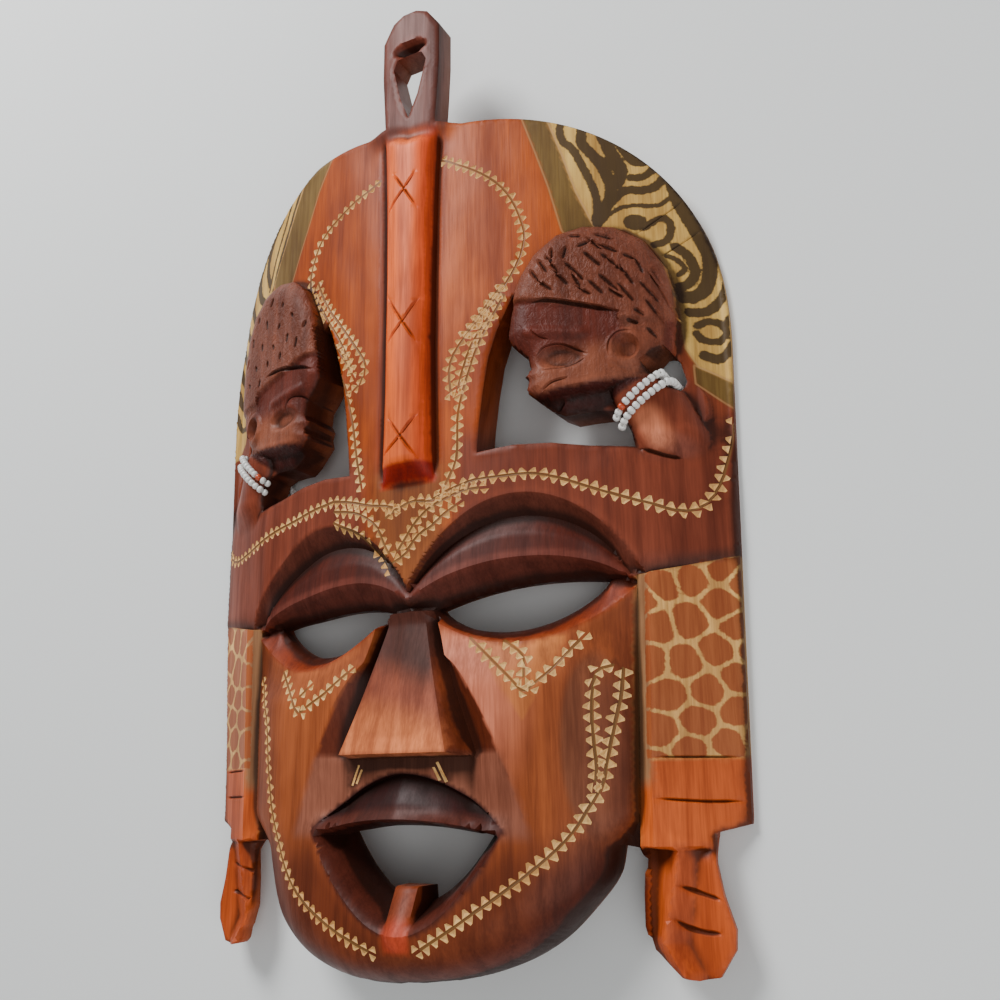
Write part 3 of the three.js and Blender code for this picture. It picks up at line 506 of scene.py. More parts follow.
def loopRing(step):
    right = [(0, loop["point"]), (4, loop["point"] + 10), (loop["holeHalf"], loop["wide"]),
             (loop["holeHalf"] - 2, loop["holeTop"])]
    return stepAlong(right + [(-x, y) for x, y in right[:0:-1]] + right[:1], step)


rimStep = carving["rimStep"]
outline = carvedOutline(rimStep)
sideHoles = [eyeRing(rimStep), openingRing(rimStep), stepAlong(napeGap + napeGap[:1], rimStep)]
holes = sideHoles + [toLeft(ring) for ring in sideHoles] + [mouthRing(rimStep), loopRing(rimStep)]
rim = np.concatenate([outline] + holes)
print("outlines", len(outline), [len(hole) for hole in holes])


# Distance to the nearest rim, read at rim points a little over a millimetre apart
def rimDistance(points, batch=20000, block=500):
    near = np.full(len(points), 1e9)
    for start in range(0, len(points), batch):
        part = points[start:start + batch]
        for first in range(0, len(rim), block):
            gap = part[:, None, :] - rim[None, first:first + block, :]
            near[start:start + batch] = np.minimum(near[start:start + batch], (gap ** 2).sum(2).min(1))
    return np.sqrt(near)


# Staggered rows of points between two levels, even but for a little looseness
def hexField(spacing, low, high):
    rowStep = spacing * math.sqrt(0.75)
    rows = np.arange(low, high, rowStep)
    columns = np.arange(-carving["fieldHalf"], carving["fieldHalf"], spacing)
    x = columns[None, :] + (np.arange(len(rows)) % 2)[:, None] * spacing / 2
    y = np.repeat(rows[:, None], len(columns), 1)
    field = np.stack([x.ravel(), y.ravel()], 1)
    return field + lumps.uniform(-0.08, 0.08, field.shape) * spacing


# Keeps the points whose cell, and the cells round it, hold none of the placed points
def awayFrom(field, placed, cell):
    corner, span = np.array([-135.0, -150.0]), (270, 390)
    marks = np.zeros((int(span[0] / cell) + 4, int(span[1] / cell) + 4), bool)
    at = ((placed - corner) / cell).astype(int) + 1
    marks[at[:, 0], at[:, 1]] = True
    around = marks.copy()
    for dx in (-1, 0, 1):
        for dy in (-1, 0, 1):
            around |= np.roll(np.roll(marks, dx, 0), dy, 1)
    at = ((field - corner) / cell).astype(int) + 1
    return field[~around[at[:, 0], at[:, 1]]]


# Lines across and down the face, with a point about every millimetre
def across(start, end, level):
    x = np.linspace(start, end, max(3, int(abs(end - start))))
    return np.stack([x, level(x) + 0 * x], 1)


def down(start, end, place):
    y = np.linspace(start, end, max(3, int(abs(end - start))))
    return np.stack([place(y) + 0 * y, y], 1)


# Unit steps along a line, and square to them on its left
def stepsOf(line):
    ahead = np.gradient(line, axis=0)
    ahead /= np.maximum(np.hypot(ahead[:, 0], ahead[:, 1]), 1e-9)[:, None]
    return ahead, np.stack([-ahead[:, 1], ahead[:, 0]], 1)


# The same line, moved to its left
def offsetLine(line, by):
    return line + by * stepsOf(line)[1]


# A flowing line through a few points, taken at even steps
def flowLine(points, step):
    p = np.array(points, float)
    slope = np.gradient(p, axis=0)
    t = np.linspace(0, 1, 13)[:-1, None, None]
    bend = ((2 * t ** 3 - 3 * t ** 2 + 1) * p[:-1] + (t ** 3 - 2 * t ** 2 + t) * slope[:-1]
            + (3 * t ** 2 - 2 * t ** 3) * p[1:] + (t ** 3 - t ** 2) * slope[1:])
    fine = np.vstack([bend.transpose(1, 0, 2).reshape(-1, 2), p[-1:]])
    length = np.concatenate([[0], np.cumsum(np.hypot(*np.diff(fine, axis=0).T))])
    even = np.linspace(0, length[-1], max(2, round(length[-1] / step) + 1))
    return np.stack([np.interp(even, length, fine[:, 0]), np.interp(even, length, fine[:, 1])], 1)


# Lines where the carving turns sharply, so that its faces meet on them
def creaseLines():
    skull = stepAlong(skullLine, 0.9)
    hair = stepAlong([head["hairInner"], head["hairOuter"]], 0.9)
    jaw = stepAlong([head["jawInner"], head["jawOuter"]], 1.0)
    turn = np.linspace(0, 2 * np.pi, 26)[:-1]
    ears = [np.stack([head["ear"][0] + head["earHalf"][0] * k * np.cos(turn),
                      head["ear"][1] + head["earHalf"][1] * k * np.sin(turn)], 1)
            for k in (0.38, 0.78, 0.92, 1.22)]
    side = [
        across(1, 80, lambda u: eyeLine("socket", u)), across(1, 80, lambda u: eyeLine("socket", u) - 0.5),
        across(3, 74, lambda u: eyeLine("lidCrease", u)), across(5, 73, lambda u: eyeLine("lidEdge", u)),
        across(9, 77, lambda u: eyeLine("eyeRim", u)), down(-21, -92, cheekRidge),
        down(-20, nose["foot"], noseHalf), down(-20, nose["foot"], noseFlank),
        across(0.6, 25, lambda u: nose["foot"]), across(0.6, 25, lambda u: nose["foot"] - 1.4),
        across(0.5, 36.3, lambda u: lipTop(u) + 0.12), across(0.5, 36.3, lambda u: lipTop(u) - 0.2),
        across(0.5, 30, lipEdge), across(5, 36.5, lambda u: mouthFoot(u) + 0.15),
        down(-12, -95, lambda v: creaseAt(v) - 0.15), down(-12, -95, lambda v: creaseAt(v) + 0.15),
        down(-12, -95, lambda v: creaseAt(v) + panel["bevel"]),
        across(78, 108, lambda u: panelTopAt(u) + 0.15), across(78, 108, lambda u: panelTopAt(u) - 0.15),
        np.array([(u, v) for v, u in pendantRidge], float), across(74, 95, lambda u: -95.0),
        across(74, 95, lambda u: -96.4), offsetLine(skull, 0.25), offsetLine(skull, -0.25), jaw,
        offsetLine(jaw, -3.5),
    ]
    edge = down(strip["foot"], strip["top"] + 2, stripHalf)
    middle = [edge, edge - (0.5, 0), edge - (1.3, 0), edge + (2.6, 0),
              across(1, 10.5, lambda u: strip["foot"]), across(1, 10.5, lambda u: strip["foot"] + 7.5),
              down(-107, tongue["end"], lambda v: tongue["half"] - 0.6),
              down(-107, tongue["end"], lambda v: tongue["half"] + 0.6)]
    plain = middle + ears + [hair, offsetLine(hair, 1.4)]
    return side + [toLeft(line) for line in side] + plain + [line * (-1, 1) for line in plain]


# Rows of chips cut with the knife point; each row follows a thin scribed line
chipRows = [
    [(13, 154.5), (22, 149), (29.5, 144), (36, 138), (40.5, 131.5), (43.5, 124.5), (45.5, 116.5), (45, 110),
     (43.3, 104.5), (40, 98.5), (36.5, 93.5), (32, 88), (26.5, 82), (21.5, 76.5), (18, 71), (16.8, 65.5),
     (17.5, 58)],
    [(38, 92), (32, 82), (27.5, 73), (24.5, 65), (22, 57), (20.3, 48.5), (20, 39), (19.6, 33), (17, 27),
     (14.2, 22.5)],
    [(33, 85.5), (26, 75.5), (22.5, 67), (20.3, 59)], [(37.5, 96.5), (30.5, 88), (24, 80.5)],
    [(-14.6, 154), (-19.5, 152), (-26, 150), (-31.5, 148), (-36.5, 145.5), (-42, 142.5), (-47, 138.5),
     (-50, 133.5), (-52.3, 127.5), (-52.8, 122.5), (-51.5, 116.5), (-47.5, 108), (-45, 102), (-41.5, 94),
     (-38, 87), (-34, 78), (-30, 69), (-26, 55), (-23.5, 41), (-21, 30)],
    [(-49.5, 115), (-44.4, 106.5), (-40, 99.5), (-35, 92), (-31, 85), (-27.5, 78)],
    [(-48, 120.5), (-44.5, 112.5), (-40, 105), (-35, 98.5), (-29.5, 91), (-24.5, 84), (-20.5, 77),
     (-22.5, 70), (-27, 68)],
    [(-41, 94.5), (-33.5, 85), (-27, 74.5)],
    [(-34.3, 25.3), (-28.5, 24.2), (-22, 22.4), (-15, 20.5), (-10, 19.7), (-5.5, 18)],
    [(-9, 15), (-6, 16.8), (-1.2, 18.7), (2.7, 19.5), (8.7, 18.7), (15, 21.2), (21, 23), (26.5, 24.1),
     (36, 24.4), (46, 24.3), (56, 21.7), (65.5, 17.7), (75, 14), (84, 11), (90, 8.8), (96, 8.3),
     (100.8, 11), (104.5, 17), (107, 24.5), (109, 33), (109.6, 38)],
    [(-34.3, 25.3), (-43.5, 24.3), (-53.4, 22.6), (-61, 21.3), (-68.4, 19.8), (-76, 18), (-83, 16),
     (-91, 14.4), (-98, 13.6), (-104, 15.5), (-108, 19.5)],
    [(-34, 17), (-30, 15), (-24.7, 12.8), (-20, 9.5), (-16.4, 5.3), (-13, 1.8), (-10, -2.2)],
    [(-34, 21.3), (-27.4, 20), (-22, 18.5), (-15.7, 14.8), (-12.3, 11), (-9.7, 5.8), (-7.2, 2)],
    [(-7.9, -2.6), (-4, -1), (-0.9, 0.7), (1.4, 3.7), (5, 7.2), (9.4, 9.3), (13.8, 12.7), (19.5, 16)],
    [(-3.5, 2.5), (-1.3, 5.5), (0.9, 8.6), (3.2, 11.4), (6.8, 14.6), (10.9, 17), (16.6, 19.3), (22, 20.9),
     (28, 21)],
    [(24.8, -30), (30.5, -35.5), (36.2, -40.8), (40, -44.5), (44, -48.5), (47.5, -46), (51.7, -42.7),
     (56, -38), (60.7, -32.7)],
    [(36, -31.5), (40, -34), (43.5, -37.5), (44, -44)],
    [(-59, -35.5), (-55, -40), (-51, -44.5), (-46, -51), (-39.5, -48.5), (-33.5, -45.8), (-28, -42),
     (-22.6, -38.5)],
    [(-45.5, -45.5), (-42, -43)],
    [(70.5, -41), (67, -42), (65.2, -45.6), (64.5, -51.8), (64.3, -57.8), (64.6, -65), (65, -71),
     (64.4, -76)],
    [(73.2, -42), (72.6, -49), (71.2, -55.5), (69.6, -62.4), (68, -69.8), (66.4, -77), (63.4, -82),
     (59, -89), (52.7, -95.7), (45, -102), (36.4, -108), (27.8, -113.5), (19.5, -118.8), (9, -125)],
    [(-74.5, -36), (-70, -44), (-66.6, -51), (-64.5, -59), (-63.2, -67), (-61.5, -74), (-59.6, -81),
     (-57, -88), (-54.5, -94), (-51, -101), (-46.6, -107), (-41.5, -111.6), (-36.6, -115), (-26, -120.5),
     (-17.5, -124), (-10.5, -126.5)],
]
chipSize = {"pitch": 3.5, "long": 2.9, "start": 0.5, "reach": 2.4, "lean": 1.5, "tipHalf": 0.4,
            "late": (0.0, 0.45), "loose": (0.35, 0.4, 0.45, 0.1), "deep": 0.5, "lineHalf": 0.28,
            "lineDeep": 0.16, "lineStep": 1.2}


# Pairs of chips on both sides of a row's line: rough triangles, set and turned a little loosely
def chipsAlong(line):
    even = flowLine(line, chipSize["pitch"])
    ahead, aside = stepsOf(even)
    chips = []
    for sign, late in zip((1, -1), chipSize["late"]):
        loose = lumps.uniform(-1, 1, (len(even), 4)) * chipSize["loose"]
        long = chipSize["long"] + loose[:, 0]
        high = chipSize["reach"] + loose[:, 1]
        lean = chipSize["lean"] + loose[:, 2]
        low = chipSize["start"] + loose[:, 3]
        corners = [(late + 0 * long, low), (late + long, low), (late + lean + chipSize["tipHalf"], high),
                   (late + lean - chipSize["tipHalf"], high * 0.93)]
        chips.append(np.stack([even + ahead * along[:, None] + sign * aside * away[:, None]
                               for along, away in corners], 1))
    return np.concatenate(chips)


# Grooves of the knife: half width, depth, and the points each follows
grooves = [
    (0.8, 0.9, [(-5.6, 151.6), (0.2, 142.6), (6.3, 132.4)]),
    (0.8, 0.9, [(5.5, 149.8), (0.2, 142.6), (-8.2, 134.2)]),
    (0.8, 0.9, [(-8.2, 100.6), (0.4, 87), (6.8, 76.6)]),
    (0.8, 0.9, [(7.4, 96.5), (0.4, 87.4), (-7.5, 79.7)]),
    (0.8, 0.9, [(-6.1, 51.4), (1.6, 40.7), (7.6, 32.4)]),
    (0.8, 0.9, [(7, 50.9), (-0.4, 42.2), (-9, 36.4)]),
    (0.4, 0.5, [(84.3, 110.8), (92, 117), (99.5, 123.3)]),
    (0.4, 0.5, [(91, 101), (98, 106.3), (104, 111.2)]),
    (0.6, 0.8, [(80.5, -69.1), (93.3, -69.3), (105, -69.5)]),
    (0.7, 0.9, [(80, -81.1), (92.5, -82.2), (104.6, -82.4)]),
    (0.6, 0.8, [(-100, -70.8), (-80.5, -70.3)]), (0.7, 0.9, [(-99, -80.2), (-80, -79.8)]),
    (0.9, 0.9, [(84, -105.9), (90.4, -108.2), (97.4, -110.2)]),
    (1.0, 1.0, [(82, -114.8), (86, -117.6), (91, -119), (97, -119.2)]),
    (0.9, 0.9, [(-90.8, -103.5), (-83, -105.2), (-77.5, -107)]),
    (1.0, 1.0, [(-91, -113.4), (-84, -114.6), (-77, -117)]),
    (1.0, 1.5, [(50, 83.4), (56, 83.6), (65, 81.3), (79, 77.4)]),
    (1.0, 1.4, [(-72.5, 83.2), (-64.2, 83.5), (-53, 82), (-43, 79)]),
    (0.6, 0.7, [(-59, 65), (-56, 69.4), (-50, 69.6), (-46, 67)]),
    (0.7, 0.9, [(52.6, 50.6), (57, 53.5), (62.6, 54.8)]), (0.8, 0.9, [(51.8, 47.6), (54.6, 49.6)]),
    (0.8, 0.9, [(56, 45.4), (59, 48.2)]),
    (0.5, 0.7, [(51.6, 63.6), (55, 66.6), (61, 66.8), (69.4, 62.4)]),
    (0.5, 0.6, [(69, 61.8), (61.5, 59), (53.5, 58)]),
    (0.5, 0.8, [(75.4, 61), (75.8, 66.4), (79, 69.9), (84, 69.9)]),
    (0.9, 1.2, [(82, 30), (88, 27.6), (94.5, 25.8)]),
    (0.5, 0.6, [(50.6, 73.4), (52.4, 71), (56.4, 69)]),
    (0.6, 0.8, [(88.5, 93), (92.4, 84.6), (95.4, 76)]),
]
hairGouges = [
    [(67, 102.6), (71.8, 104.3)], [(58.8, 94.6), (64.3, 87.7)], [(62.3, 97.8), (69.6, 88.8)],
    [(68.7, 101), (75, 94)], [(73.7, 103), (80.8, 99)], [(53, 91.8), (58.9, 86.5)],
    [(66, 87.6), (71.5, 83.6)], [(73.3, 92), (80.6, 83.7)], [(80.5, 94.8), (85, 86)],
    [(85.4, 97.3), (87.8, 90.5)], [(76.4, 86), (81.5, 81.6)], [(70, 90), (75.4, 83.4)],
    [(81.3, 98.7), (86.4, 96)], [(86, 88.6), (92.6, 79)], [(87.5, 82), (92.6, 72.6)],
    [(89.8, 93.5), (93, 86.3)], [(58.4, 104), (58.6, 97)], [(63.6, 103.4), (62.3, 98.2)],
    [(50.5, 96.5), (54.6, 90)], [(72, 107.6), (79, 104.4)], [(64, 107.8), (68.6, 106.6)],
    [(77, 97.2), (82, 91)], [(65, 93.4), (68, 86)], [(79, 88.6), (85, 79.6)],
    [(81.5, 74.5), (85.2, 72.6)], [(84, 78), (87.6, 74.8)], [(87.4, 71.4), (90.6, 67)],
    [(84.6, 58.2), (88, 61.4)], [(53.4, 100), (57.2, 93.4)], [(56, 101.6), (61, 92.6)],
    [(74.6, 99.4), (79.6, 94.4)], [(70, 106.2), (75.4, 100.6)],
]
leftDents = [
    (-62, 112), (-70, 116), (-55, 105), (-64, 103), (-73, 107), (-80, 112), (-58, 96), (-67, 95),
    (-76, 98), (-84, 103), (-52, 92), (-62, 89.5), (-71, 89), (-80, 90), (-88, 95), (-48, 99),
    (-85, 84), (-77, 82.5),
]
for x, y in leftDents:
    reach = lumps.uniform(1.2, 2.4)
    lean = lumps.uniform(-1.2, 1.2)
    hairGouges.append([(x - lean, y + reach), (x + lean * 0.6, y - reach)])
grooves += [(1.0, 1.0, line) for line in hairGouges]

# Four thin nicks under the nose
noseNicks = [[(-22.6, -76.2), (-21.7, -76.4), (-18.8, -69.8), (-19.6, -69.6)],
             [(-20.6, -75.6), (-19.8, -75.9), (-17.4, -71.4), (-18.2, -71)],
             [(15.2, -75.8), (16.2, -75.4), (12.9, -69.2), (12, -69.5)],
             [(13, -75.2), (13.9, -74.9), (11.6, -70.8), (10.8, -71)]]


# Sides and bottom of a V groove, shallower towards its ends
def grooveLines(half, deep, line, step=0.9):
    middle = flowLine(line, step)
    t = np.linspace(0, 1, len(middle))
    taper = np.minimum(1, 5 * np.minimum(t, 1 - t))
    aside = stepsOf(middle)[1] * (half * (0.35 + 0.65 * taper))[:, None]
    return [(middle - aside, 0 * t), (middle, -deep * taper), (middle + aside, 0 * t)]


# Faces whose middle lies in a chip
def inChips(centre, chips):
    found = np.zeros(len(centre), bool)
    for chip in chips:
        near = np.flatnonzero(((centre > chip.min(0)) & (centre < chip.max(0))).all(1))
        found[near] |= inRing(*centre[near].T, chip)
    return found


# Parts with finer triangles, on the right side: heads, shoulders and panels
fineAreas = [
    [(36, 118), (36, 38), (100, 38), (100, 118)],
    [(53, 172), (60, 145), (70, 113), (100, 40), (114, 40), (114, 175)],
    [(78, -8), (110, -6), (108, -70), (78, -70)],
]


# Whether points lie in the parts with finer triangles, on either side
def inFineArea(points):
    found = np.zeros(len(points), bool)
    for area in fineAreas:
        found |= inRing(*points.T, area) | inRing(*points.T, toLeft(area))
    return found


# Turns faces round where they don't face the wanted way
def keepUpright(flat, faces, upwards):
    a, b, c = flat[faces[:, 0]], flat[faces[:, 1]], flat[faces[:, 2]]
    area = (b[:, 0] - a[:, 0]) * (c[:, 1] - a[:, 1]) - (b[:, 1] - a[:, 1]) * (c[:, 0] - a[:, 0])
    turned = area < 0 if upwards else area > 0
    faces[turned] = faces[turned][:, ::-1]
    return faces


# Faces whose middle lies in the outline and in none of the holes
def insideCarving(flat, faces):
    x, y = flat[faces].mean(1).T
    keep = inRing(x, y, outline)
    for hole in holes:
        keep &= ~inRing(x, y, hole)
    return keep


# Triangles between points, cut along the linked lines, and the points each one came from
def triangulate(points, links, merge):
    found = delaunay_2d_cdt([Vector(p) for p in points.tolist()], links, [], 0, merge)
    return np.array([tuple(v) for v in found[0]]), np.array(found[2]), found[3]


def faceSides(faces):
    return np.concatenate([faces[:, [0, 1]], faces[:, [1, 2]], faces[:, [2, 0]]])


# Links round closed rings whose points follow one another
def ringLinks(counts, start=0):
    links = []
    for count in counts:
        links += [(start + i, start + (i + 1) % count) for i in range(count)]
        start += count
    return links


# The recess behind a neck and the rim round it
def besideNeck(points):
    u, v = unlifted(*points.T)
    return toSegment(u, v, neck["top"], neck["foot"]) < neck["reach"] + 6


# Chips that lie clear of the rims, off steep steps and off the heads
def placeChips():
    chips = np.concatenate([chipsAlong(line) for line in chipRows] + [np.array([nick]) for nick in noseNicks])
    clear = rimDistance(chips.reshape(-1, 2)).reshape(-1, 4).min(1) > carving["chipClear"]
    levels = frontHeight(chips[..., 0].ravel(), chips[..., 1].ravel()).reshape(-1, 4)
    steep = np.ptp(levels, axis=1) > carving["chipSlope"]
    onHead = inRing(*unlifted(*chips.mean(1).T), headRing)
    return chips[clear & ~steep & ~onHead]


# Points, depths and links of the grooves and scribed lines; near a rim they are flat and unlinked
def placeCuts():
    cuts = [grooveLines(*groove) for groove in grooves]
    cuts += [grooveLines(chipSize["lineHalf"], chipSize["lineDeep"], row, chipSize["lineStep"])
             for row in chipRows]
    strings = [string for cut in cuts for string in cut]
    places = np.concatenate([line for line, sink in strings])
    sinks = np.concatenate([sink for line, sink in strings])
    clear = rimDistance(places) > carving["cutClear"]
    links, first = [], 0
    for line, sink in strings:
        links += [(len(rim) + i, len(rim) + i + 1) for i in range(first, first + len(line) - 1)
                  if clear[i] and clear[i + 1]]
        first += len(line)
    return places, np.where(clear, sinks, 0), links


# How deep each point of the cut mesh lies; points added where lines cross take the nearest cut's depth
def sunkAt(flat, origins, sinks, cutPlaces, cutSinks):
    source = np.array([origin[0] if origin else -1 for origin in origins])
    sunk = np.where(source >= 0, sinks[source], 0)
    added = np.flatnonzero(source < 0)
    isDeep = cutSinks < -0.05
    if len(added):
        gap = np.hypot(flat[added, None, 0] - cutPlaces[None, isDeep, 0],
                       flat[added, None, 1] - cutPlaces[None, isDeep, 1])
        sunk[added] = cutSinks[isDeep][gap.argmin(1)] * clamp(1 - gap.min(1) / 0.9)
    return sunk


# Front triangles of the carving, with their chips and depths
def frontMesh():
    chips = placeChips()
    hubs = chips.mean(1) + lumps.uniform(-0.2, 0.2, (len(chips), 2))
    cutPlaces, cutSinks, cutLinks = placeCuts()
    lines = np.concatenate(creaseLines())
    lines = awayFrom(lines[rimDistance(lines) > carving["lineClear"]], cutPlaces, carving["lineCell"])
    placed = np.concatenate([rim, cutPlaces, chips.reshape(-1, 2), hubs, lines])
    fine = hexField(carving["headSpacing"], -75, 182)
    plain = hexField(carving["plainSpacing"], carving["foot"], carving["top"])
    field = np.concatenate([awayFrom(fine[inFineArea(fine)], placed, carving["fineCell"]),
                            awayFrom(plain[~inFineArea(plain)], placed, carving["plainCell"])])
    points = np.concatenate([placed, awayFrom(field, hubs, carving["hubCell"])])
    firstChip = len(rim) + len(cutPlaces)
    firstHub = firstChip + 4 * len(chips)
    sinks = np.zeros(len(points))
    sinks[len(rim):firstChip] = cutSinks
    sinks[firstHub:firstHub + len(hubs)] = -chipSize["deep"]
    links = ringLinks([len(ring) for ring in [outline] + holes]) + cutLinks
    links += ringLinks([4] * len(chips), firstChip)
    flat, faces, origins = triangulate(points, links, 1e-5)
    isChip = inChips(flat[faces].mean(1), chips)
    sunk = sunkAt(flat, origins, sinks, cutPlaces, cutSinks)
    keep = insideCarving(flat, faces)
    used, kept = np.unique(keepUpright(flat, faces[keep], True), return_inverse=True)
    return flat[used], kept.reshape(-1, 3), isChip[keep], sunk[used]


# Flat plan of the back between the given rim points, and where its rim links end up
def rearMesh(onRim, links):
    wide = hexField(carving["backSpacing"], carving["foot"], carving["top"])
    inner = awayFrom(wide, onRim, carving["backCell"])
    byNecks = awayFrom(hexField(carving["neckBackSpacing"], 10, 84), onRim, carving["neckBackCell"])
    rear = np.concatenate([onRim, inner[~besideNeck(inner)], byNecks[besideNeck(byNecks)]])
    flat, faces, origins = triangulate(rear, [tuple(link) for link in links.tolist()], 1e-6)
    used, kept = np.unique(keepUpright(flat, faces[insideCarving(flat, faces)], False), return_inverse=True)
    place = np.full(len(flat), -1)
    place[used] = np.arange(len(used))
    return flat[used], kept.reshape(-1, 3), place[links]


# Height of the front: rounded at the rims, wavy from the knife and sunk in the cuts
def handCut(flat, sunk):
    x, y = flat[:, 0], flat[:, 1]
    inset = rimDistance(flat)
    radius = carving["edgeRound"]
    rounding = radius - np.sqrt(np.maximum(0, radius ** 2 - np.maximum(0, radius - inset) ** 2))
    wobble = np.sin(x / 4.7 + 1.3 * np.sin(y / 9.1)) * np.sin(y / 6.3 + 1.1) + np.sin(x / 2.9 + y / 11.0)
    top = frontHeight(x, y) - rounding * carving["edgeShare"]
    return top - carving["handWobble"] * (1 + 0.5 * wobble) * ease(0, 3, inset) + sunk


# Front, back and the walls between them, with the slot of each face
def carveWood():
    flat, faces, isChip, sunk = frontMesh()
    sides = faceSides(faces).astype(np.int64)
    border = sides[~np.isin(sides @ (len(flat), 1), sides @ (1, len(flat)))]
    onRim, order = np.unique(border, return_inverse=True)
    rearFlat, rearFaces, order = rearMesh(flat[onRim], order.reshape(-1, 2))
    places = np.concatenate([np.column_stack([flat, handCut(flat, sunk)]),
                             np.column_stack([rearFlat, backHeight(rearFlat[:, 0], rearFlat[:, 1])])])
    shift = len(flat)
    p, q = border.T
    below, beyond = shift + order.T
    walls = np.concatenate([np.stack([p, below, beyond], 1), np.stack([p, beyond, q], 1)])
    slots = np.concatenate([isChip.astype(int), np.zeros(len(rearFaces) + len(walls), int)])
    return places, np.concatenate([faces, rearFaces + shift, walls]), slots, faces, sunk


# How far each point lies below the level round it: hollows are above 0, ridges below
def hollowness(height, faces, rounds):
    sides = np.unique(np.sort(faceSides(faces), 1), axis=0)
    ends, others = np.concatenate([sides, sides[:, ::-1]]).T
    count = np.bincount(ends, minlength=len(height))
    smooth = height.copy()
    for turn in range(rounds):
        around = np.bincount(ends, smooth[others], len(height))
        smooth = 0.4 * smooth + 0.6 * around / np.maximum(count, 1)
    return smooth - height


# A piece from places in the drawing's millimetres
def addMesh(name, places, faces, slots=None):
    mesh = bpy.data.meshes.new(name)
    mesh.from_pydata(((np.array(places) + (0, shiftY, 0)) * 0.001).tolist(), [], faces.tolist())
    mesh.update()
    if slots is not None:
        mesh.polygons.foreach_set("material_index", slots)
    piece = bpy.data.objects.new(name, mesh)
    bpy.context.collection.objects.link(piece)
    return piece


def giveValues(mesh, name, values):
    layer = mesh.attributes.new(name, "FLOAT", "POINT")
    layer.data.foreach_set("value", np.asarray(values, np.float32))


# Painted zones, in millimetres inside their border; outside they run below 0
def insideZone(x, y, ring):
    near = toLine(x, y, ring + ring[:1])
    return np.where(inRing(x, y, ring), near, -near)


oliveZone = {
    "right": [(41, 174), (45.8, 163.5), (50.2, 149), (54.8, 133), (59, 114.5), (63, 108), (72, 111),
              (70.8, 113), (64.4, 129.5), (60, 145.5), (55.2, 161), (53, 172)],
    "left": [(-42, 176), (-50, 163), (-57, 147), (-66, 128), (-69, 118), (-80, 126), (-80.6, 134),
             (-74, 146), (-67, 159), (-60, 172), (-58, 178)],
    "rightFoot": [(99, 59.8), (106, 56), (114, 51), (114, 40.5), (105.5, 47.6), (99.2, 53)],
}
zebraZone = {
    "right": [(53, 174), (55.2, 161), (60, 145.5), (64.4, 129.5), (70.5, 113.5), (80, 112.6), (87, 107.5),
              (91, 101.4), (94.8, 90), (96.2, 77), (97, 66), (100.5, 59), (106, 56), (114, 51), (120, 60),
              (120, 120), (100, 165), (70, 188)],
    "left": [(-58, 180), (-60, 172), (-67, 159), (-74, 146), (-80.8, 133), (-84, 124), (-91, 116),
             (-96.5, 103), (-98.5, 90), (-99, 76), (-101.5, 67), (-107, 62), (-114, 60), (-121, 70),
             (-121, 130), (-100, 168), (-72, 190)],
}
zebraStripes = [
    (1.5, [(60.5, 162), (59.5, 155), (61, 150.5), (63.5, 148), (66.5, 141), (69, 134.5), (71, 128),
     (71.5, 122.5), (70.5, 116)]),
    (2.0, [(68, 158.5), (67, 150), (71, 143.5), (74.5, 137), (76, 131.5), (76, 126.5), (74.5, 123),
     (72, 117.5)]),
    (2.4, [(74, 153.5), (76.5, 145.5), (78.5, 140.5), (80, 136), (78, 131)]),
    (1.6, [(71, 143.5), (75.5, 140), (78, 138)]), (2.4, [(80, 149), (84, 141.4), (87, 140)]),
    (1.5, [(92, 138.5), (88.5, 134.4), (86, 133.2), (83, 133.5)]),
    (1.7, [(95, 135), (91, 129.4), (86, 128), (81, 128.5), (78, 126), (75.5, 123), (73.5, 119.5)]),
    (0.9, [(96.5, 126), (93, 122.5), (89.5, 121.5), (84, 122), (79.5, 121.5), (75.5, 119), (72, 115)]),
    (3.1, [(83, 115.5), (84.5, 115)]),
    (2.4, [(96.5, 130), (98, 122.5), (100.5, 116.5), (103.5, 109), (106, 101.5), (106, 94.5), (104, 88),
     (99.5, 85), (96, 86)]),
    (1.4, [(86.5, 113), (90, 115.5), (93.5, 116.5), (95, 112), (93.5, 107.5), (89.5, 106)]),
    (1.8, [(96, 105), (99.5, 101.5), (101.5, 96), (100, 91), (96, 89)]),
    (1.0, [(93, 101.5), (96.5, 99.5), (98.5, 96), (96.5, 94)]),
    (1.8, [(112, 97), (111, 88.5), (107.5, 82.5), (103.5, 79.5), (99, 79.5)]),
    (1.4, [(101, 74.5), (104.5, 76), (108, 75), (110, 72), (107, 68.5), (102.5, 69), (100.5, 71.5)]),
    (1.4, [(113, 79), (109, 73.5)]), (1.8, [(114, 75), (112, 67), (107, 62), (102.4, 63.4)]),
]
leftStreaks = [
    (0.9, [(-61, 173), (-69, 158), (-77, 142), (-82.5, 129)]),
    (0.7, [(-65, 175), (-72.5, 160), (-80, 145), (-85, 132)]),
    (1.6, [(-76, 163), (-84, 154), (-87.5, 144), (-85, 135)]),
    (1.9, [(-88, 153), (-94.5, 143), (-93.5, 133), (-88, 127)]),
    (1.7, [(-99, 141), (-101, 131), (-97, 122), (-91.5, 120)]),
    (1.5, [(-106, 129), (-104.5, 119), (-99, 112.5)]),
    (1.5, [(-109, 117), (-106, 107.5), (-100.5, 101)]), (1.4, [(-110.4, 106), (-107, 97), (-101, 92)]),
    (1.4, [(-111, 95), (-107.5, 86), (-101.5, 83)]), (1.3, [(-111, 83), (-107, 75), (-102, 74)]),
]
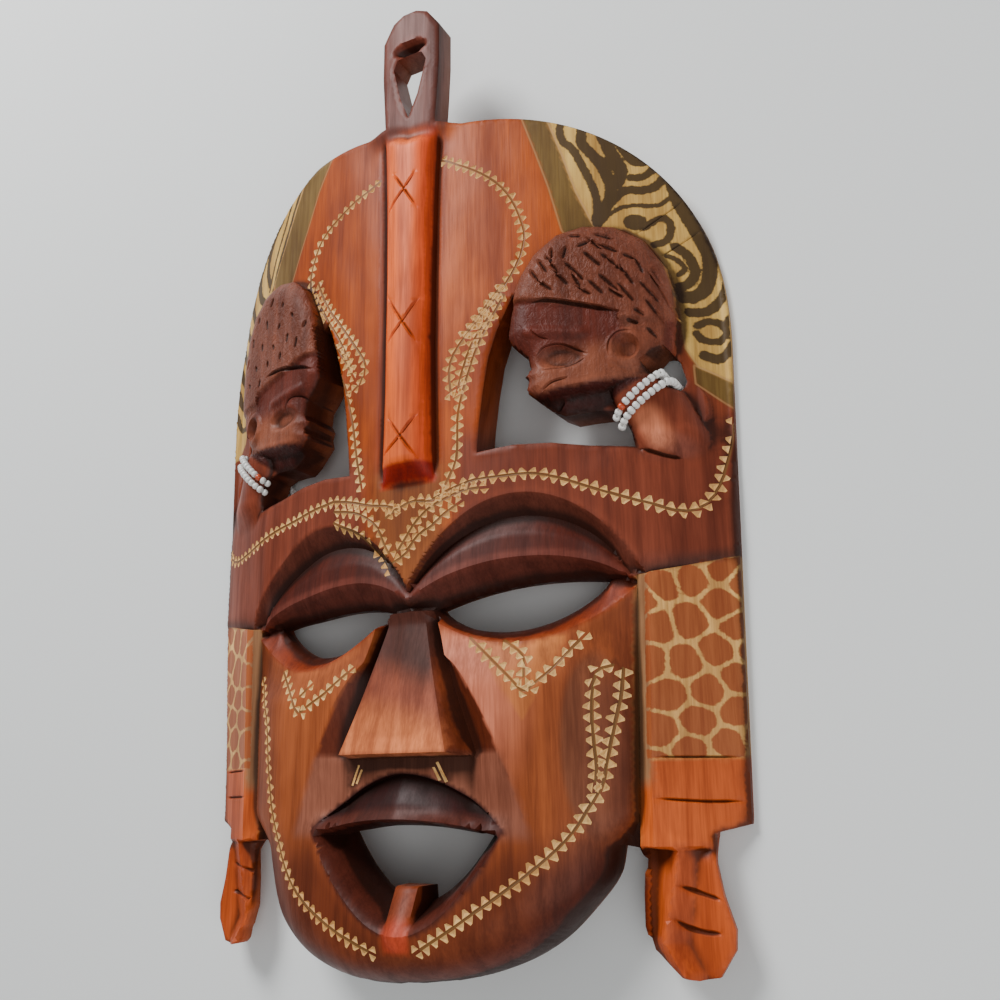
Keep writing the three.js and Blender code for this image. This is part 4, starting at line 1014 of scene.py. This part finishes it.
giraffeSeeds = [
    (86.3, -16), (94.5, -14.4), (103, -10.5), (109, -15.5), (84.4, -29.3), (92.8, -27.6), (102, -22.2),
    (106.4, -30.2), (100.2, -37), (90.9, -40.8), (105, -45.2), (86.3, -50.6), (96.6, -49.4),
    (104.4, -56), (93.4, -58.4), (83.6, -61.6), (90.4, -67.4), (101.6, -65.6), (81.8, -40.6), (98, -74),
    (110, -37), (82, -72), (109.4, -64), (80, -21), (98.8, -5), (88, -6),
]


# Distance into a dark stripe: its half width less the way to its middle line
def stripeDepth(x, y, stripes):
    depth = np.full(len(x), carving["outside"])
    for half, line in stripes:
        depth = np.maximum(depth, half - toLine(x, y, flowLine(line, 2.0).tolist()))
    return depth


# Distance into a patch: how far the borders halfway to the next seeds are, with rounded corners
def patchDepth(x, y, seeds, half, sharpness=1.5):
    gaps = np.stack([(x - a) ** 2 + (y - b) ** 2 for a, b in seeds], 1)
    order = np.argsort(gaps, 1)[:, :5]
    near = np.take_along_axis(gaps, order, 1)
    centres = np.array(seeds)[order]
    apart = np.linalg.norm(centres[:, 1:] - centres[:, :1], axis=2)
    borders = (near[:, 1:] - near[:, :1]) / (2 * apart)
    return -np.log(np.exp(-sharpness * borders).sum(1)) / sharpness - half


# Colours of stain and paint, linear. Some are painted light: painted highlights on the neck, cheek,
# nose and lid edge, painted shade under the lid and on the strip's flanks, and the rear colour that shades
# the walls
stains = {
    "forehead": (0.38, 0.063, 0.004), "foreheadRight": (0.5, 0.092, 0.008),
    "edgeRed": (0.26, 0.036, 0.008), "olive": (0.19, 0.11, 0.028), "tan": (0.76, 0.47, 0.12),
    "strip": (0.88, 0.15, 0.024), "stripFlankShade": (0.56, 0.05, 0.012), "stripEnd": (0.32, 0.012, 0.003),
    "loop": (0.14, 0.03, 0.016), "head": (0.12, 0.022, 0.012), "hair": (0.19, 0.052, 0.026),
    "headCheek": (0.28, 0.085, 0.042), "jaw": (0.055, 0.009, 0.006), "arm": (0.21, 0.044, 0.02),
    "neckHighlight": (0.72, 0.23, 0.11), "between": (0.3, 0.085, 0.02), "socket": (0.12, 0.028, 0.015),
    "lid": (0.085, 0.014, 0.007), "lidEdge": (0.2, 0.048, 0.03), "shadeUnderLid": (0.11, 0.024, 0.014),
    "eyeRim": (0.26, 0.036, 0.008), "cheek": (0.34, 0.082, 0.022), "cheekHighlight": (0.85, 0.27, 0.15),
    "notch": (0.62, 0.2, 0.045), "knot": (0.2, 0.07, 0.034), "fold": (0.15, 0.028, 0.01),
    "noseDark": (0.075, 0.022, 0.014), "noseSide": (0.22, 0.045, 0.015), "noseMidWithHighlight": (0.3, 0.07, 0.03),
    "noseTipWithHighlight": (0.72, 0.2, 0.06), "muzzle": (0.32, 0.11, 0.062), "lip": (0.035, 0.007, 0.006),
    "mouthWall": (0.085, 0.018, 0.01), "tongue": (0.24, 0.045, 0.013), "tongueEnd": (0.5, 0.06, 0.02),
    "chin": (0.15, 0.03, 0.01), "chinEdge": (0.09, 0.014, 0.005), "panelStep": (0.075, 0.022, 0.012),
    "cream": (0.82, 0.46, 0.14), "bevel": (0.4, 0.2, 0.09), "block": (0.62, 0.11, 0.016),
    "pendant": (0.54, 0.09, 0.016), "rear": (0.15, 0.05, 0.022),
}


# Places of single patches of stain and painted highlight: ends of a streak, a centre with half sizes, or
# corners
stainSpots = {
    "armPatch": ((70, 46), (80, 46)), "neckHighlight": ((85.5, 40), (89, 33)), "headCheek": ((60, 54), (76, 57)),
    "cheekHighlight": (25, -50), "knot": ((65, -65), (10.5, 29)), "notch": [(24, -27), (57, -31), (43.5, -58)],
    "rearShadeShare": 0.75,
}


# Stains by region, as pairs of a stain's name and its weight at each point; some are painted
# highlights and painted shade. Each is laid over the last, with a soft border.
def foreheadStains(x, y, u, v, shade):
    return [
        ("foreheadRight", ease(0, 12, x)), ("arm", ease(84, 91, u) * ease(114, 98, v) * 0.85),
        ("edgeRed", ease(11, 3, toLine(x, y, openingEdge)) * 0.6),
        ("olive", ease(-0.8, 0.8, shade["olive"])), ("tan", ease(-0.8, 0.8, shade["zebraZone"])),
        ("arm", ease(46, 36, v) * ease(14, 24, u)),
        ("between", ease(40, 30, y) * ease(20, 10, u) * ease(-20, -6, y)),
        ("arm", ease(20, 10, v) * ease(24, 40, u) * 0.7),
        ("arm", ease(16, 12, toSegment(u, v, neck["top"], neck["foot"]))),
        ("arm", ease(9, 6, toSegment(u, v, *stainSpots["armPatch"]))),
        # Painted highlight: a pale salmon streak down the right neck
        ("neckHighlight", ease(6.5, 1.5, toSegment(u, v, *stainSpots["neckHighlight"])) * ease(-9, 9, x) * 0.7),
    ]


def eyeStains(u, v):
    inSocket = ease(0.6, -0.6, v - eyeLine("socket", u)) * ease(82, 78, u) * ease(-36, -30, v)
    return [
        ("socket", inSocket), ("lid", inSocket * ease(0.4, -0.8, v - eyeLine("lidCrease", u))),
        # Painted highlight: a pale band along the lid's edge
        ("lidEdge", inSocket * ease(2.6, 0.4, np.abs(v - eyeLine("lidEdge", u) - 0.7)) * 0.5),
        # Painted shade under the lid's edge
        ("shadeUnderLid", inSocket * ease(0.2, -0.6, v - eyeLine("lidEdge", u))),
        ("eyeRim", inSocket * ease(0.8, -0.8, v - eyeLine("eyeFoot", u))),
    ]


def cheekStains(x, y, u, v):
    onCheek = ease(0.5, -1.0, v - np.minimum(eyeLine("eyeRim", u), -17)) * ease(86, 80, u)
    highlightX, highlightY = stainSpots["cheekHighlight"]
    return [
        ("cheek", onCheek),
        # Painted highlight: a pale pink glow on the cheek beside the nose
        ("cheekHighlight", onCheek * ease(26, 6, np.hypot(x - highlightX, (y - highlightY) * 0.6)) * 0.75),
        ("notch", onCheek * ease(-0.3, 0.6, insideZone(x, y, stainSpots["notch"])) * 0.55),
        ("knot", onCheek * ease(1.06, 0.86, ovalReach(x, y, *stainSpots["knot"])) * 0.75),
        ("chin", ease(-88, -106, y) * ease(84, 78, u) * 0.85),
        ("chin", onCheek * ease(0.72, 0.98, chinReach(x, v) / edgeReachAt(v)) * 0.7),
        ("chinEdge", ease(0.8, 0.96, chinReach(x, v)) * ease(-92, -104, y) * ease(84, 78, u)),
        ("fold", ease(0.2, -0.9, u - cheekRidge(v)) * ease(-19, -24, v) * ease(-94, -86, v)),
    ]


def noseStains(x, u, v):
    foot, top = nose["foot"], nose["top"]
    onNose = ease(0.5, -0.5, u - noseFlank(v)) * ease(top + 6, top + 3, v) * ease(foot - 1, foot + 1, v)
    onFront = onNose * ease(0.3, -0.3, u - noseHalf(v))
    return [
        ("muzzle", ease(1, -1.5, u - cheekRidge(v)) * ease(foot + 1, foot - 1, v) * ease(-95, -90, v)),
        ("noseDark", onNose), ("noseSide", (onNose - onFront) * ease(-30, -42, v)),
        # Front of the nose lighter down towards the tip and on its left: lighter stain with a painted
        # highlight
        ("noseMidWithHighlight", onFront * ease(-34, -46, v + 0.35 * x)),
        ("noseTipWithHighlight", onFront * ease(-47, -60, v + 0.25 * x) * 0.9),
    ]


def mouthStains(x, u, v):
    inMouth = (u < mouth["corner"] + 1) & (v < lipTop(u) + 0.3) & (v > mouthFoot(u) - 0.3)
    onTongue = ease(tongue["half"] + 1, tongue["half"] - 0.3, u)
    onTongue = onTongue * ease(tongue["end"] - 1, tongue["end"] + 0.5, v) * ease(-104, -106, v)
    return [
        ("mouthWall", 1.0 * inMouth), ("lip", inMouth * ease(lipEdge(u) + 1.5, lipEdge(u) + 5, v)),
        ("tongue", onTongue),
        ("tongueEnd", onTongue * ease(8, 3, np.hypot(x, v - tongue["end"] - 4))),
    ]


def stripStains(x, y, u, v):
    off, foot = np.abs(x) - stripHalf(v), strip["foot"]
    onStrip = ease(0.4, -0.3, off) * ease(foot - 0.6, foot + 0.4, y) * ease(176, 168, y)
    return [
        ("edgeRed", ease(5, 1, np.abs(off - 1)) * ease(30, 34, y) * ease(172, 164, y) * 0.6),
        # Painted shade on the strip's flanks, stronger on the right than on the left
        ("strip", onStrip), ("stripFlankShade", onStrip * ease(1, 9, x) * 0.8),
        ("stripFlankShade", onStrip * ease(-5.5, -10, x) * 0.5),
        ("stripEnd", onStrip * ease(foot + 7.6, foot + 6, y)),
        ("loop", ease(164, 172, y) * ease(24, 14, u)),
    ]


def headStains(y, u, v):
    inHead = insideZone(u, v, headRing)
    onHead = ease(-0.6, 0.6, inHead)
    onCheek = ease(16, 5, toSegment(u, y, *stainSpots["headCheek"]))
    return [
        ("head", onHead), ("headCheek", onHead * onCheek * ease(72, 64, y) * 0.9),
        ("headCheek", ease(1, 4, inHead) * ease(78, 82, u) * ease(84, 76, y) * ease(58, 64, y) * 0.6),
        ("jaw", onHead * ease(0.3, -0.8, besideLine(u, v, head["jawInner"], head["jawOuter"]))),
        ("hair", onHead * ease(-0.5, 1, aboveHairline(u, y))),
    ]


def panelStains(u, v):
    above, outward = v - panelTopAt(u), u - creaseAt(v)
    inPanel = ease(0.1, -0.4, above) * ease(-0.3, 0.3, outward)
    onBevel = ease(panel["bevel"] + 0.6, panel["bevel"] - 0.8, outward)
    return [
        ("panelStep", ease(5, 0.6, above) * ease(0.2, 0.8, above + 0.6) * ease(76, 82, u) * 0.8),
        ("cream", inPanel), ("block", inPanel * ease(-69.0, -70.2, v)),
        ("bevel", inPanel * onBevel * ease(-80, -74, v)), ("pendant", inPanel * ease(-94, -96, v)),
    ]


# Colour of the stain at each point; the back is dulled towards the rear colour, so that the walls darken down
# towards it as painted shade
def stainColours(places, frontCount, shade):
    x, y = places[:, :2].T
    u, v = unlifted(x, y)
    layers = (foreheadStains(x, y, u, v, shade) + eyeStains(u, v) + cheekStains(x, y, u, v)
              + noseStains(x, u, v) + mouthStains(x, u, v) + stripStains(x, y, u, v) + headStains(y, u, v)
              + panelStains(u, v))
    colour = np.tile(np.array(stains["forehead"]), (len(x), 1))
    for name, weight in layers:
        colour += (np.array(stains[name]) - colour) * clamp(weight)[:, None]
    share = stainSpots["rearShadeShare"]
    behind = np.arange(len(x)) >= frontCount
    colour[behind] = colour[behind] * (1 - share) + np.array(stains["rear"]) * share
    return colour


# Values the material reads at each point: distances into zones, carved areas, and hollows and ridges for
# painted shade and highlight
def woodValues(places, frontFaces, sunk):
    frontCount, outside = len(sunk), carving["outside"]
    x, y = places[:, :2].T
    u, v = unlifted(x, y)
    shade = {"olive": np.maximum.reduce([insideZone(x, y, ring) for ring in oliveZone.values()]),
             "zebraZone": np.maximum.reduce([insideZone(x, y, ring) for ring in zebraZone.values()])}
    for name in ("zebra", "giraffe", "row"):
        shade[name] = np.full(len(x), outside)
    for sign, stripes in ((1, zebraStripes), (-1, leftStreaks)):
        there = (sign * x > 50) & (y > 40)
        shade["zebra"][there] = stripeDepth(x[there], y[there], stripes)
    shade["zebra"] = np.minimum(shade["zebra"], shade["zebraZone"])
    onPanel = np.minimum.reduce([panelTopAt(u) - v, v + 69.6, u - creaseAt(v) - 0.6 * panel["bevel"]])
    there = onPanel > -3
    shade["giraffe"][there] = patchDepth(u[there], v[there], giraffeSeeds, 0.5)
    shade["giraffe"] = np.minimum(shade["giraffe"], onPanel)
    rows = [(0.55, row) for row in chipRows]
    shade["row"][:frontCount] = stripeDepth(x[:frontCount], y[:frontCount], rows)
    inHead = insideZone(u, v, headRing)
    shade["row"][inHead > -0.5] = outside
    behindEar = ease(72, 78, u) * ease(7, 9, np.hypot(u - 81, y - 64))
    rough = np.maximum(ease(-0.5, 1, aboveHairline(u, y)), behindEar)
    shade["carved"] = ease(-0.6, 0.8, inHead) * (0.35 + 0.65 * rough)
    # Painted shade: hollows and cuts run above 0 and are darkened, the ear's cup less; ridges run below 0 and
    # are lightened
    front = places[:frontCount, 2]
    hollow = np.zeros(len(x))
    hollow[:frontCount] = 0.5 * hollowness(front, frontFaces, 10) + 0.5 * hollowness(front, frontFaces, 40)
    hollow *= 1 - 0.7 * ease(1.1, 0.8, ovalReach(u, y, head["ear"], head["earHalf"]))
    hollow[:frontCount] += np.maximum(0, -sunk - 0.2)
    shade["hollow"] = hollow
    for name in ("olive", "zebraZone", "zebra", "giraffe"):
        shade[name][frontCount:] = outside
    shade["carved"][frontCount:] = 0
    return shade


places, faces, slots, frontFaces, sunk = carveWood()
shade = woodValues(places, frontFaces, sunk)
body = addMesh("carved_wood_mask", places, faces, slots)
for name, values in shade.items():
    giveValues(body.data, name, values)
stainLayer = body.data.attributes.new("stain", "FLOAT_COLOR", "POINT")
stained = np.column_stack([stainColours(places, len(sunk), shade), np.ones(len(places))])
stainLayer.data.foreach_set("color", stained.astype(np.float32).ravel())
body.data.shade_smooth()
body.data.set_sharp_from_angle(angle=math.radians(carving["sharpDegrees"]))
body.data.polygons.foreach_set("use_smooth", slots == 0)
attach(body, "root")
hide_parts("mask_body")
print("carved wood", len(places), "points", len(faces), "faces", int(slots.sum()), "in chips")


def addNode(tree, kind, **settings):
    node = tree.nodes.new(kind)
    for name, value in settings.items():
        setattr(node, name, value)
    return node


def attributeOf(tree, name):
    return addNode(tree, "ShaderNodeAttribute", attribute_name=name).outputs["Fac"]


# Noise in the piece's own metres, with its own scale along each axis
def noiseAt(tree, stretch, detail=3.0, roughness=0.55, distortion=0.0):
    place = addNode(tree, "ShaderNodeTexCoord")
    turn = addNode(tree, "ShaderNodeMapping")
    turn.inputs["Scale"].default_value = stretch
    noise = addNode(tree, "ShaderNodeTexNoise")
    levels = {"Scale": 1.0, "Detail": detail, "Roughness": roughness, "Distortion": distortion}
    for name, level in levels.items():
        noise.inputs[name].default_value = level
    tree.links.new(place.outputs["Object"], turn.inputs["Vector"])
    tree.links.new(turn.outputs["Vector"], noise.inputs["Vector"])
    return noise.outputs["Fac"]


# Maps a value between two levels onto two others, eased
def ranged(tree, value, low, high, out0, out1):
    node = addNode(tree, "ShaderNodeMapRange", interpolation_type="SMOOTHSTEP")
    for name, level in (("From Min", low), ("From Max", high), ("To Min", out0), ("To Max", out1)):
        node.inputs[name].default_value = level
    tree.links.new(value, node.inputs["Value"])
    return node.outputs["Result"]


def reckon(tree, operation, *terms):
    node = addNode(tree, "ShaderNodeMath", operation=operation)
    for socket, term in zip(node.inputs, terms):
        if isinstance(term, (int, float)):
            socket.default_value = term
        else:
            tree.links.new(term, socket)
    return node.outputs[0]


def blend(tree, factor, first, second, way="MIX"):
    node = addNode(tree, "ShaderNodeMix", data_type="RGBA", blend_type=way)
    sockets = [node.inputs[0], node.inputs[6], node.inputs[7]]
    for socket, term in zip(sockets, (factor, first, second)):
        if isinstance(term, (int, float)):
            socket.default_value = term
        elif isinstance(term, tuple):
            socket.default_value = (*term, 1)
        else:
            tree.links.new(term, socket)
    return node.outputs[2]


def newGroup(name, outputs):
    group = bpy.data.node_groups.new(name, "ShaderNodeTree")
    for output in outputs:
        group.interface.new_socket(output, in_out="OUTPUT", socket_type="NodeSocketFloat")
    return group, addNode(group, "NodeGroupOutput")


# Long streaks of grain along the height of the mask, with pores and knife facets
def woodGrainGroup():
    group, out = newGroup("woodGrain", ("Streak", "Mottle", "Height"))
    streak = noiseAt(group, (170, 9, 120), detail=5.0, roughness=0.62, distortion=0.6)
    pores = noiseAt(group, (1500, 70, 1500), detail=2.0)
    mottle = noiseAt(group, (38, 22, 38), roughness=0.6)
    facets = noiseAt(group, (210, 90, 210), detail=1.0, roughness=0.4)
    tone = reckon(group, "MULTIPLY_ADD", pores, 0.25, reckon(group, "MULTIPLY", streak, 0.75))
    height = reckon(group, "MULTIPLY_ADD", streak, 0.35, reckon(group, "MULTIPLY", pores, 0.25))
    height = reckon(group, "MULTIPLY_ADD", facets, 0.7, height)
    for value, name in ((tone, "Streak"), (mottle, "Mottle"), (height, "Height")):
        group.links.new(value, out.inputs[name])
    return group


woodGrain = woodGrainGroup()


# A material with its shader's plain settings
def newMaterial(name, roughness, coat=0.0, coatRoughness=0.2, gloss=0.5):
    material = bpy.data.materials.new(name)
    material.use_nodes = True
    shader = material.node_tree.nodes["Principled BSDF"]
    shader.inputs["Roughness"].default_value = roughness
    shader.inputs["Coat Weight"].default_value = coat
    shader.inputs["Coat Roughness"].default_value = coatRoughness
    shader.inputs["Specular IOR Level"].default_value = gloss
    return material, material.node_tree, shader


def useGrain(tree):
    grain = addNode(tree, "ShaderNodeGroup")
    grain.node_tree = woodGrain
    return grain


# Fine relief in the shading only
def bumpFrom(tree, shader, height, strength, distance):
    bump = addNode(tree, "ShaderNodeBump")
    bump.inputs["Strength"].default_value = strength
    bump.inputs["Distance"].default_value = distance
    tree.links.new(height, bump.inputs["Height"])
    tree.links.new(bump.outputs["Normal"], shader.inputs["Normal"])


# Tones of the wood and its paint, with painted shade for hollows and a lightening for ridges that is wear
# with a painted highlight; those above 1 multiply the tone below them
woodTones = {
    "streakDark": (0.62, 0.54, 0.5), "streakPale": (1.2, 1.22, 1.25), "mottleDark": (0.78, 0.72, 0.7),
    "mottlePale": (1.14, 1.16, 1.18), "rowLine": (0.2, 0.1, 0.028), "stripeDark": (0.035, 0.02, 0.01),
    "stripePale": (0.085, 0.05, 0.024), "patchDark": (0.26, 0.052, 0.014), "patchPale": (0.42, 0.105, 0.03),
    "hollow": (0.016, 0.005, 0.003), "ridgeWearAndHighlight": (1.35, 1.4, 1.45), "chipDark": (0.74, 0.37, 0.1),
    "chipPale": (0.95, 0.6, 0.22), "chipFleck": (0.36, 0.14, 0.04),
}
# Pale lines where zones meet: where they rise and fall, their share and colour
borderLines = [
    ("zebraZone", (-0.55, -0.05), (0.05, 0.6), 0.35, (0.62, 0.42, 0.18)),
    ("olive", (-0.5, -0.1), (0.1, 0.5), 0.45, (0.58, 0.3, 0.12)),
]


# Stained wood: region stain, painted hide patterns, painted shade in hollows, and ridges lightened by wear
# and a painted highlight
def stainedWood():
    material, tree, shader = newMaterial("stainedWood", 0.42, coat=0.03, coatRoughness=0.25, gloss=0.2)
    grain = useGrain(tree)
    stain = addNode(tree, "ShaderNodeAttribute", attribute_name="stain").outputs["Color"]
    ragged = noiseAt(tree, (620, 620, 620))
    edge = reckon(tree, "MULTIPLY_ADD", ragged, 1.3, -0.65)
    streaks = ranged(tree, grain.outputs["Streak"], 0.32, 0.68, 0.0, 1.0)
    tone = blend(tree, streaks, woodTones["streakDark"], woodTones["streakPale"])
    colour = blend(tree, 1.0, stain, tone, "MULTIPLY")
    mottle = ranged(tree, grain.outputs["Mottle"], 0.3, 0.7, 0.0, 1.0)
    tone = blend(tree, mottle, woodTones["mottleDark"], woodTones["mottlePale"])
    colour = blend(tree, 1.0, colour, tone, "MULTIPLY")
    row = ranged(tree, attributeOf(tree, "row"), -0.1, 0.3, 0, 0.75)
    colour = blend(tree, row, colour, woodTones["rowLine"])
    offHead = ranged(tree, attributeOf(tree, "carved"), 0.05, 0.25, 1, 0)
    for name, rise, fall, share, tint in borderLines:
        zone = attributeOf(tree, name)
        line = reckon(tree, "MULTIPLY", ranged(tree, zone, *rise, 0, 1), ranged(tree, zone, *fall, 1, 0))
        line = reckon(tree, "MULTIPLY", line, offHead)
        colour = blend(tree, reckon(tree, "MULTIPLY", line, share), colour, tint)
    stripe = reckon(tree, "ADD", attributeOf(tree, "zebra"), edge)
    paint = blend(tree, grain.outputs["Mottle"], woodTones["stripeDark"], woodTones["stripePale"])
    colour = blend(tree, ranged(tree, stripe, -0.25, 0.3, 0, 0.95), colour, paint)
    patch = reckon(tree, "ADD", attributeOf(tree, "giraffe"), edge)
    paint = blend(tree, streaks, woodTones["patchDark"], woodTones["patchPale"])
    colour = blend(tree, ranged(tree, patch, -0.2, 0.35, 0, 0.95), colour, paint)
    # Painted shade: darker in hollows and cuts
    uneven = reckon(tree, "MULTIPLY_ADD", grain.outputs["Mottle"], 0.3, -0.15)
    hollow = reckon(tree, "ADD", attributeOf(tree, "hollow"), uneven)
    colour = blend(tree, ranged(tree, hollow, 0.1, 1.0, 0, 0.8), colour, woodTones["hollow"])
    # Ridges lightened: wear with a painted highlight
    ridgeWearAndHighlight = blend(tree, 1.0, colour, woodTones["ridgeWearAndHighlight"], "MULTIPLY")
    colour = blend(tree, ranged(tree, hollow, -0.2, -0.8, 0, 0.6), colour, ridgeWearAndHighlight)
    tree.links.new(colour, shader.inputs["Base Color"])
    tree.links.new(ranged(tree, grain.outputs["Streak"], 0.3, 0.7, 0.56, 0.42), shader.inputs["Roughness"])
    hewn = noiseAt(tree, (420, 300, 420), roughness=0.65, distortion=1.2)
    hewn = reckon(tree, "MULTIPLY", hewn, reckon(tree, "MULTIPLY", attributeOf(tree, "carved"), 8.0))
    bumpFrom(tree, shader, reckon(tree, "ADD", grain.outputs["Height"], hewn), 0.4, 0.0004)
    return material


# Freshly cut pale wood in the chips
def chippedWood():
    material, tree, shader = newMaterial("chippedWood", 0.62)
    grain = useGrain(tree)
    mottle = ranged(tree, grain.outputs["Mottle"], 0.3, 0.7, 0, 1)
    colour = blend(tree, mottle, woodTones["chipDark"], woodTones["chipPale"])
    fine = noiseAt(tree, (700, 260, 700), detail=2.0)
    colour = blend(tree, ranged(tree, fine, 0.35, 0.65, 0.35, 0.0), colour, woodTones["chipFleck"])
    tree.links.new(colour, shader.inputs["Base Color"])
    bumpFrom(tree, shader, grain.outputs["Height"], 0.3, 0.0003)
    return material


body.data.materials.append(stainedWood())
body.data.materials.append(chippedWood())

# Necklaces: strings of seed beads pulled tight round each neck
strand = {"centre": (84.6, 47.0), "across": (0.75, 0.66), "apart": 3.6, "radius": 1.5, "clear": 0.3,
          "pitch": 2.3, "redAt": 0.04, "beadHalf": 1.08, "around": 10, "tube": 6, "tilt": 0.16}


# Front and back of the neck where a line crosses it between the openings
def neckSection(middle, direction, reach=20):
    t = np.arange(-reach, reach + 0.01, 0.5)
    x, y = middle[0] + direction[0] * t, middle[1] + direction[1] * t
    isOpen = np.any([inRing(x, y, hole) for hole in holes], axis=0)
    start = t[isOpen & (t <= 0)].max(initial=-reach - 1)
    end = t[isOpen & (t > 0)].min(initial=reach + 1)
    keep = (t > start) & (t < end)
    return np.concatenate([np.stack([t, height(x, y)], 1)[keep] for height in (frontHeight, backHeight)])


# Path of a string pulled tight round the neck, clear of the wood by the beads' radius
def snugRing(middle, direction, axis):
    section = np.concatenate([neckSection(middle + axis * side * strand["radius"], direction)
                              for side in (-1, -0.5, 0, 0.5, 1)])
    angle = np.pi - np.linspace(0, 2 * np.pi, 91)
    outward = np.stack([np.cos(angle), np.sin(angle)], 1)
    far = section[np.argmax(section @ outward.T, 0)] + outward * (strand["radius"] + strand["clear"])
    return np.column_stack([middle + direction * far[:, :1], far[:, 1]])


# Evenly spaced points along a closed path
def evenPlaces(path, count):
    length = np.concatenate([[0], np.cumsum(np.linalg.norm(np.diff(path, axis=0), axis=1))])
    goal = length[-1] * np.arange(count) / count
    return np.stack([np.interp(goal, length, path[:, k]) for k in range(3)], 1)


# A short rounded tube: a flattened ring swept round the string
def beadShape(radius, half):
    count, turns = strand["around"], strand["tube"]
    around = np.arange(count) / count * 2 * np.pi
    tube = np.arange(turns) / turns * 2 * np.pi
    reach = radius * 0.6 + radius * 0.4 * np.sin(tube)
    points = np.stack([np.repeat(half * np.cos(tube), count), np.outer(reach, np.cos(around)).ravel(),
                       np.outer(reach, np.sin(around)).ravel()], 1)
    i, j = np.meshgrid(np.arange(turns), np.arange(count), indexing="ij")
    row, rowNext, turn = i * count, (i + 1) % turns * count, (j + 1) % count
    return points, np.stack([row + j, rowNext + j, rowNext + turn, row + turn], -1).reshape(-1, 4)


# One piece of beads at the given places, each turned and sized a little loosely
def threadBeads(name, centres, ahead, axis, material, node):
    points, quads = beadShape(strand["radius"], strand["beadHalf"])
    places, faces = [], []
    for k, (centre, way) in enumerate(zip(centres, ahead)):
        tilt = way + lumps.uniform(-strand["tilt"], strand["tilt"], 3)
        tilt /= np.linalg.norm(tilt)
        out = np.cross(tilt, axis)
        out /= np.linalg.norm(out)
        size = lumps.uniform(0.9, 1.0)
        places.append(centre + (points * size) @ np.stack([tilt, out, np.cross(tilt, out)]))
        faces.append(quads + k * len(points))
    piece = addMesh(name, np.concatenate(places), np.concatenate(faces))
    piece.data.shade_smooth()
    piece.data.materials.append(material)
    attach(piece, "root")
    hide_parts(node)


# Slightly dulled glass
def glassBead(name, colour, roughness):
    material, tree, shader = newMaterial(name, roughness, coat=0.35, coatRoughness=0.12)
    dulled = noiseAt(tree, (900, 900, 900), detail=2.0)
    dark = tuple(0.72 * part for part in colour)
    tint = blend(tree, ranged(tree, dulled, 0.35, 0.7, 0, 0.35), colour, dark)
    tree.links.new(tint, shader.inputs["Base Color"])
    return material


whiteGlass = glassBead("whiteGlass", (0.93, 0.92, 0.89), 0.28)
redGlass = glassBead("redGlass", (0.62, 0.085, 0.025), 0.3)

for sideName, mirror in (("right", 1), ("left", -1)):
    direction = np.array([strand["across"][0] * mirror, strand["across"][1]])
    sideways = np.array([-direction[1], direction[0], 0.0])
    axis = sideways / np.linalg.norm(sideways) * mirror
    for level, shift in (("upper", 0.5), ("lower", -0.5)):
        middle = np.array(strand["centre"]) * (mirror, 1) + axis[:2] * shift * strand["apart"]
        path = snugRing(middle, direction, axis[:2])
        total = np.linalg.norm(np.diff(path, axis=0), axis=1).sum()
        count = round(total / strand["pitch"]) * 2
        placesRound = evenPlaces(path, count)
        ahead = np.roll(placesRound, -1, 0) - np.roll(placesRound, 1, 0)
        ahead /= np.linalg.norm(ahead, axis=1)[:, None]
        redPlace = 2 * round(count * strand["redAt"]) + 1
        white = np.arange(1, count, 2)
        if level == "upper":
            white = white[white != redPlace]
            threadBeads(f"red_bead_{sideName}", placesRound[[redPlace]], ahead[[redPlace]], axis, redGlass,
                        f"red_bead_{sideName}")
        threadBeads(f"white_beads_{sideName}_{level}", placesRound[white], ahead[white], axis, whiteGlass,
                    f"necklace_{sideName}_{level}")
print("necklaces strung")

# The photo's camera, fitted to points of the carving
camera = bpy.data.cameras.new("photoCamera")
camera.lens, camera.sensor_width, camera.clip_start = 36, 36, 0.01
viewer = bpy.data.objects.new("photoCamera", camera)
bpy.context.collection.objects.link(viewer)
turn = Matrix(((0.882014, 0.140099, 0.449915), (-0.013024, 0.961664, -0.273920),
               (-0.471043, 0.235742, 0.850026)))
viewer.matrix_world = Matrix.Translation((0.18754, -0.07669 + shiftY / 1000, 0.31708)) @ turn.to_4x4()
bpy.context.scene.camera = viewer

bpy.ops.mesh.primitive_plane_add(size=4)
floor = bpy.context.object
floor.name = "floor"
paper, tree, shader = newMaterial("paleFloor", 0.85)
shader.inputs["Base Color"].default_value = (0.93, 0.95, 0.945, 1)
floor.data.materials.append(paper)


# A square light turned to the middle of the part
def softLight(name, place, size, power):
    lamp = bpy.data.lights.new(name, "AREA")
    lamp.size, lamp.energy = size, power
    holder = bpy.data.objects.new(name, lamp)
    bpy.context.collection.objects.link(holder)
    holder.location = place
    holder.rotation_euler = (Vector((0, 0, 0)) - Vector(place)).to_track_quat("-Z", "Y").to_euler()


softLight("windowSide", (-0.42, 0.82, 0.78), size=0.5, power=15)
softLight("roomSide", (0.75, -0.6, 0.9), size=1.2, power=8)
world = bpy.data.worlds.new("studio")
world.use_nodes = True
world.node_tree.nodes["Background"].inputs["Color"].default_value = (0.85, 0.86, 0.86, 1)
world.node_tree.nodes["Background"].inputs["Strength"].default_value = 0.27
bpy.context.scene.world = world
